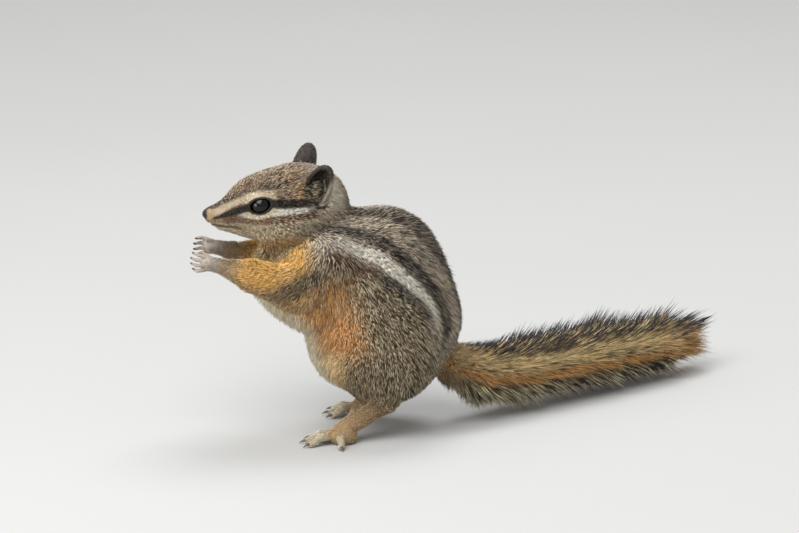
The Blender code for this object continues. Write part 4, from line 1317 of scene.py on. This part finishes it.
def tail_rises(roots, middle, radius):
    """How far the tail's coat stands off its skin, to the outline of the part."""
    out = unit(roots - middle)
    reach = radius * np.sqrt(TAIL_FLATNESS**2 + (1 - TAIL_FLATNESS**2) * out[:, 2] ** 2)
    return np.clip(reach - np.linalg.norm(roots - middle, axis=1), 0.6, 12)


def on_saddle(points):
    """1 along the back, where the coat stands up a little, and 0 off it."""
    angle = back_angle(points)
    return smooth(-35, 0, angle) * smooth(110, 60, angle) * smooth(14, 6, np.abs(left_of_middle(points)))


def on_belly(points):
    """1 along the front of the belly, where the coat is long and loose."""
    x, z = points[:, 0], points[:, 2]
    beside = np.abs(left_of_middle(points))
    return smooth(3, -5, x) * smooth(50, 44, z) * smooth(10, 16, z) * smooth(15, 7, beside)


# How much farther the coat stands off along the back and the belly.
SADDLE_LIFT, BELLY_LIFT = 1.4, 2.3
# Where along the tail its tassel begins and is full, and how steeply its tufts leave and end.
TAIL_TASSEL, TASSEL_SLOPES = (72, 88), (34, 14)
COAT_FLOOR = 0.12  # the coat's lowest height
SEEN_SHARE = 0.5  # where along its outer half a tuft takes its colour from
PART_WORDS = {HEAD: "head", TRUNK: "trunk", ARMS: "arms", LEGS: "legs", EARS: "ears", TAIL: "tail"}


def coat_pieces(part, paths, wide, thick, colours, patches, material):
    """The tufts of one part of the body, in as many pieces as the limit of triangles asks for."""
    word = PART_WORDS[part]
    pieces = math.ceil(len(paths) * 6 * len(thick) / PIECE_TRIANGLES)
    for n in range(pieces):
        name = f"coat_{word}_{n + 1}" if pieces > 1 else f"coat_{word}"
        some = slice(n, None, pieces)
        mesh = tuft_mesh(name, paths[some], wide[some], thick, colours[some], patches[some])
        obj = placed(name, mesh, material)
        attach(obj, "root")
        {TAIL: "tail_fur", LEGS: "pale_fur", EARS: "ear_skin"}.get(part, "fur")


def make_coat(points, normals, triangles):
    """All pieces of the coat, each of one part of the body and under the limit of triangles."""
    draw = np.random.default_rng(SEED)
    roots, facing = roots_on(points, normals, triangles, draw)
    _, _, parts, sides = marking(roots, facing)
    ways = lie_of(roots, facing, parts)
    ears = parts == EARS
    ways[ears] = ear_lie(facing[ears], sides[ears])
    jitter = np.array([TUFTS[part][3] for part in PART_WORDS])[parts]
    beside = np.cross(facing, ways)
    ways = unit(ways + beside * (jitter * draw.standard_normal(len(roots)))[:, None])
    depth = -OUTLINE(roots)
    material = fur_material()
    uv = unwrapped(roots, parts, sides)
    for part in PART_WORDS:
        chosen = np.flatnonzero(parts == part)
        _, width, (steep, flat), _, pull = TUFTS[part]
        here, out, way = roots[chosen], facing[chosen], ways[chosen]
        if part == TAIL:
            middle, _, run, radius = tail_coords(here)
            out = unit(here - middle)
            pick = draw.random(len(here))
            rise = tail_rises(here, middle, radius) * tail_reach(out[:, 2], run, pick)
            last = smooth(*TAIL_TASSEL, run)
            steep, flat = (slope + (end - slope) * last for slope, end in zip((steep, flat), TASSEL_SLOPES))
        else:
            rise = np.clip(depth[chosen], SHORTEST[part], LONGEST)
            if part == TRUNK:
                rise = rise + SADDLE_LIFT * on_saddle(here) + BELLY_LIFT * on_belly(here)
        rise = rise * draw.uniform(*LENGTHS_DIFFER, len(here))
        bends, thick = (TAIL_BENDS, TAIL_THICK) if part == TAIL else (BODY_BENDS, BODY_THICK)
        paths, clump = gathered(tuft_paths(here, out, way, rise, steep, flat, bends), pull, draw)
        paths[:, 1:, 2] = np.maximum(paths[:, 1:, 2], COAT_FLOOR)
        if part == TAIL:
            colours = tail_colours(out[:, 2], run, pick, draw)
        else:
            seen = paths[:, 1] + (paths[:, 2] - paths[:, 1]) * SEEN_SHARE
            base, grizzle, _, _ = marking(seen, out)
            colours = body_colours(base, grizzle, clump, draw)
        wide = width * draw.uniform(*WIDTHS_DIFFER, len(here)) * np.clip(rise / np.median(rise), 0.6, 1.2)
        coat_pieces(part, paths, wide, thick, colours, squared(uv[chosen]), material)


# A wet eye: dark brown, almost black, and glossy.
EYE_DARK, EYE_BROWN = (0.001, 0.001, 0.001), (0.005, 0.003, 0.002)
EYE_GLOSS = {"Roughness": 0.03, "IOR": 1.38}


def make_eyes():
    material = plain_material("eye", EYE_DARK, EYE_BROWN, 500, EYE_GLOSS)
    for side, word in ((LEFT, "left"), (RIGHT, "right")):
        ball = bmesh.new()
        place = Matrix.Translation(eye_place(side) * MM)
        bmesh.ops.create_uvsphere(ball, u_segments=64, v_segments=40, radius=EYE_RADIUS * MM, matrix=place)
        mesh = bpy.data.meshes.new(f"eyeball_{word}")
        ball.to_mesh(mesh)
        ball.free()
        mesh.shade_smooth()
        obj = placed(f"eyeball_{word}", mesh, material)
        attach(obj, "root")
        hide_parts(f"eye_{word}")


def tube(path, radii, sides=8):
    """(points, triangles) of a closed tapered tube along a path in millimetres."""
    path = np.array([np.array(p) for p in path], float)
    steps = unit(np.gradient(path, axis=0))
    start = np.cross(steps[0], (0.1, 0.9, 0.3))
    beside = start / np.linalg.norm(start)
    turn = np.arange(sides) * 2 * math.pi / sides
    points = []
    for place, way, radius in zip(path, steps, radii):
        beside = beside - way * (beside @ way)
        beside /= np.linalg.norm(beside)
        other = np.cross(way, beside)
        points.append(place + radius * (np.cos(turn)[:, None] * beside + np.sin(turn)[:, None] * other))
    count = len(path) * sides
    return np.concatenate([*points, path[:1], path[-1:]]), tube_faces(len(path), sides, 0, count, count + 1)


def joined(name, tubes, material):
    """One piece from many tubes."""
    points, triangles, start = [], [], 0
    for place, faces in tubes:
        points.append(place)
        triangles.append(faces + start)
        start += len(place)
    obj = placed(name, mesh_from(name, np.concatenate(points), np.concatenate(triangles)), material)
    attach(obj, "root")
    return obj


def plain_material(name, dark, pale, scale, values):
    """A colour that varies a little between two tones along a fine noise."""
    material, nodes, links, shader = new_material(name, values)
    noise = with_inputs(nodes.new("ShaderNodeTexNoise"), {"Scale": scale})
    ramp = nodes.new("ShaderNodeValToRGB")
    for stop, colour in zip(ramp.color_ramp.elements, (dark, pale)):
        stop.color = (*colour, 1)
    links.new(noise.outputs["Fac"], ramp.inputs["Fac"])
    links.new(ramp.outputs["Color"], shader.inputs["Base Color"])
    return material


CLAW_DARK, CLAW_PALE = (0.035, 0.026, 0.02), (0.16, 0.12, 0.09)
CLAW_PLACES = (0.1, 0.45, 0.75, 1)
# For the hands' and the feet's claws: their radii at those places and how high they arch.
CLAWS = {
    "hand": (fingers, (0.32, 0.26, 0.16, 0.05), 0.15),
    "foot": (toes, (0.45, 0.36, 0.22, 0.07), 0.35),
}


def make_claws():
    """Curved claws at the ends of all fingers and toes."""
    material = plain_material("claw", CLAW_DARK, CLAW_PALE, 900, {"Roughness": 0.35})
    for word, (digits, radii, arch) in CLAWS.items():
        tubes = []
        for side in BOTH_SIDES:
            for *_, tip, end in digits(side):
                rises = [Vector((0, 0, arch * math.sin(math.pi * t))) for t in CLAW_PLACES]
                path = [tip + (end - tip) * t + rise for t, rise in zip(CLAW_PLACES, rises)]
                tubes.append(tube(path, radii))
        joined(f"claws_{word}", tubes, material)


WHISKER_ROOTS = (18.6, 2.2, -0.9), (18.0, 2.6, -1.6), (17.2, 2.9, -0.6), (16.9, 3.1, -1.8), (17.6, 2.9, -2.3)
WHISKER_LENGTHS, WHISKER_RADII = (9, 11, 12, 10, 8), (0.055, 0.012)
WHISKER_DARK, WHISKER_PALE = (0.02, 0.016, 0.014), (0.09, 0.07, 0.06)


def make_whiskers():
    """Fine, dark whiskers that bend back from the sides of the muzzle."""
    tubes = []
    for side in BOTH_SIDES:
        for n, (place, length) in enumerate(zip(WHISKER_ROOTS, WHISKER_LENGTHS)):
            root = onto(BARE_HEAD, beside_head(place, side), -0.3)
            way = HEAD_TURN @ Vector((-0.45 - 0.1 * n, side * 0.85, 0.25 - 0.16 * n)).normalized()
            bend = HEAD_TURN @ Vector((-0.5, -0.2 * side, -0.45))
            path = [root + way * length * t + bend * length * 0.35 * t * t for t in np.linspace(0, 1, 9)]
            tubes.append(tube(path, np.linspace(*WHISKER_RADII, 9), 5))
    material = plain_material("whisker", WHISKER_DARK, WHISKER_PALE, 700, {"Roughness": 0.4})
    joined("whiskers", tubes, material)


# The camera: a long lens at the photograph's angle, aimed so that the frame is the photograph's.
PHOTO_WIDTH, PIXEL = 799, 0.265
CAMERA_LENS, SENSOR, CAMERA_HEIGHT_ANGLE = 300.0, 36.0, 15.0
CAMERA_AIM = Vector((15.0, 14.0, 44.7))


def make_camera():
    data = bpy.data.cameras.new("camera")
    data.lens, data.sensor_width = CAMERA_LENS, SENSOR
    camera = placed("camera", data)
    distance = PHOTO_WIDTH * PIXEL * CAMERA_LENS / SENSOR
    angle = math.radians(CAMERA_HEIGHT_ANGLE)
    back = Vector((0, -math.cos(angle), math.sin(angle)))
    camera.location = (CAMERA_AIM + back * distance) * MM
    camera.rotation_euler = (math.radians(90) - angle, 0, 0)
    data.clip_start, data.clip_end = 0.05, 20
    bpy.context.scene.camera = camera


def area_light(name, place, aim, size, power, colour):
    data = bpy.data.lights.new(name, "AREA")
    data.shape, data.size, data.energy, data.color = "SQUARE", size, power, colour
    lamp = placed(name, data)
    lamp.location = place
    lamp.rotation_euler = (Vector(aim) - Vector(place)).to_track_quat("-Z", "Y").to_euler()


FLOOR_CORNERS = ((-3000, -3000, 0.0), (3000, -3000, 0.0), (3000, 3000, 0.0), (-3000, 3000, 0.0))
FLOOR_GREY, FLOOR_PALE = (0.46, 0.46, 0.45), (0.5, 0.5, 0.49)


def make_studio():
    """A pale floor, a pale surround and soft lamps."""
    world = bpy.data.worlds.new("surround")
    bpy.context.scene.world = world
    world.use_nodes = True
    sky = world.node_tree.nodes["Background"]
    sky.inputs["Color"].default_value = (1.0, 0.985, 0.96, 1)
    sky.inputs["Strength"].default_value = 0.55
    bpy.context.scene.view_settings.view_transform = "Standard"
    floor = mesh_from("floor", np.array(FLOOR_CORNERS), np.array(((0, 1, 2), (0, 2, 3))), False)
    material = plain_material("floor", FLOOR_GREY, FLOOR_PALE, 30, {"Roughness": 0.9})
    obj = placed("floor", floor, material)
    aim = (0.01, 0.015, 0.04)
    area_light("key", (-0.22, -0.5, 0.75), aim, 0.7, 9.6, (0.97, 0.98, 1.0))
    area_light("top", (0.15, 0.3, 0.8), aim, 0.4, 3.5, (0.95, 0.97, 1.0))
    area_light("low", (-0.7, -0.45, 0.12), aim, 0.4, 3.4, (1.0, 0.96, 0.9))


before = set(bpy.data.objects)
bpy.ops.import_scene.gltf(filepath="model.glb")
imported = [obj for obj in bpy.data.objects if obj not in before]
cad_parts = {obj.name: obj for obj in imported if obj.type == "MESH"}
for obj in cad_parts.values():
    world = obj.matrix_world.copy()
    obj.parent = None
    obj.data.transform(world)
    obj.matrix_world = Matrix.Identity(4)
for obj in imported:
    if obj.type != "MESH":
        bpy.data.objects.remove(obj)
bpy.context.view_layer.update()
make_camera()
make_studio()
skin_points, skin_normals, skin_triangles = make_skin()
make_coat(skin_points, skin_normals, skin_triangles)
make_eyes()
make_claws()
make_whiskers()
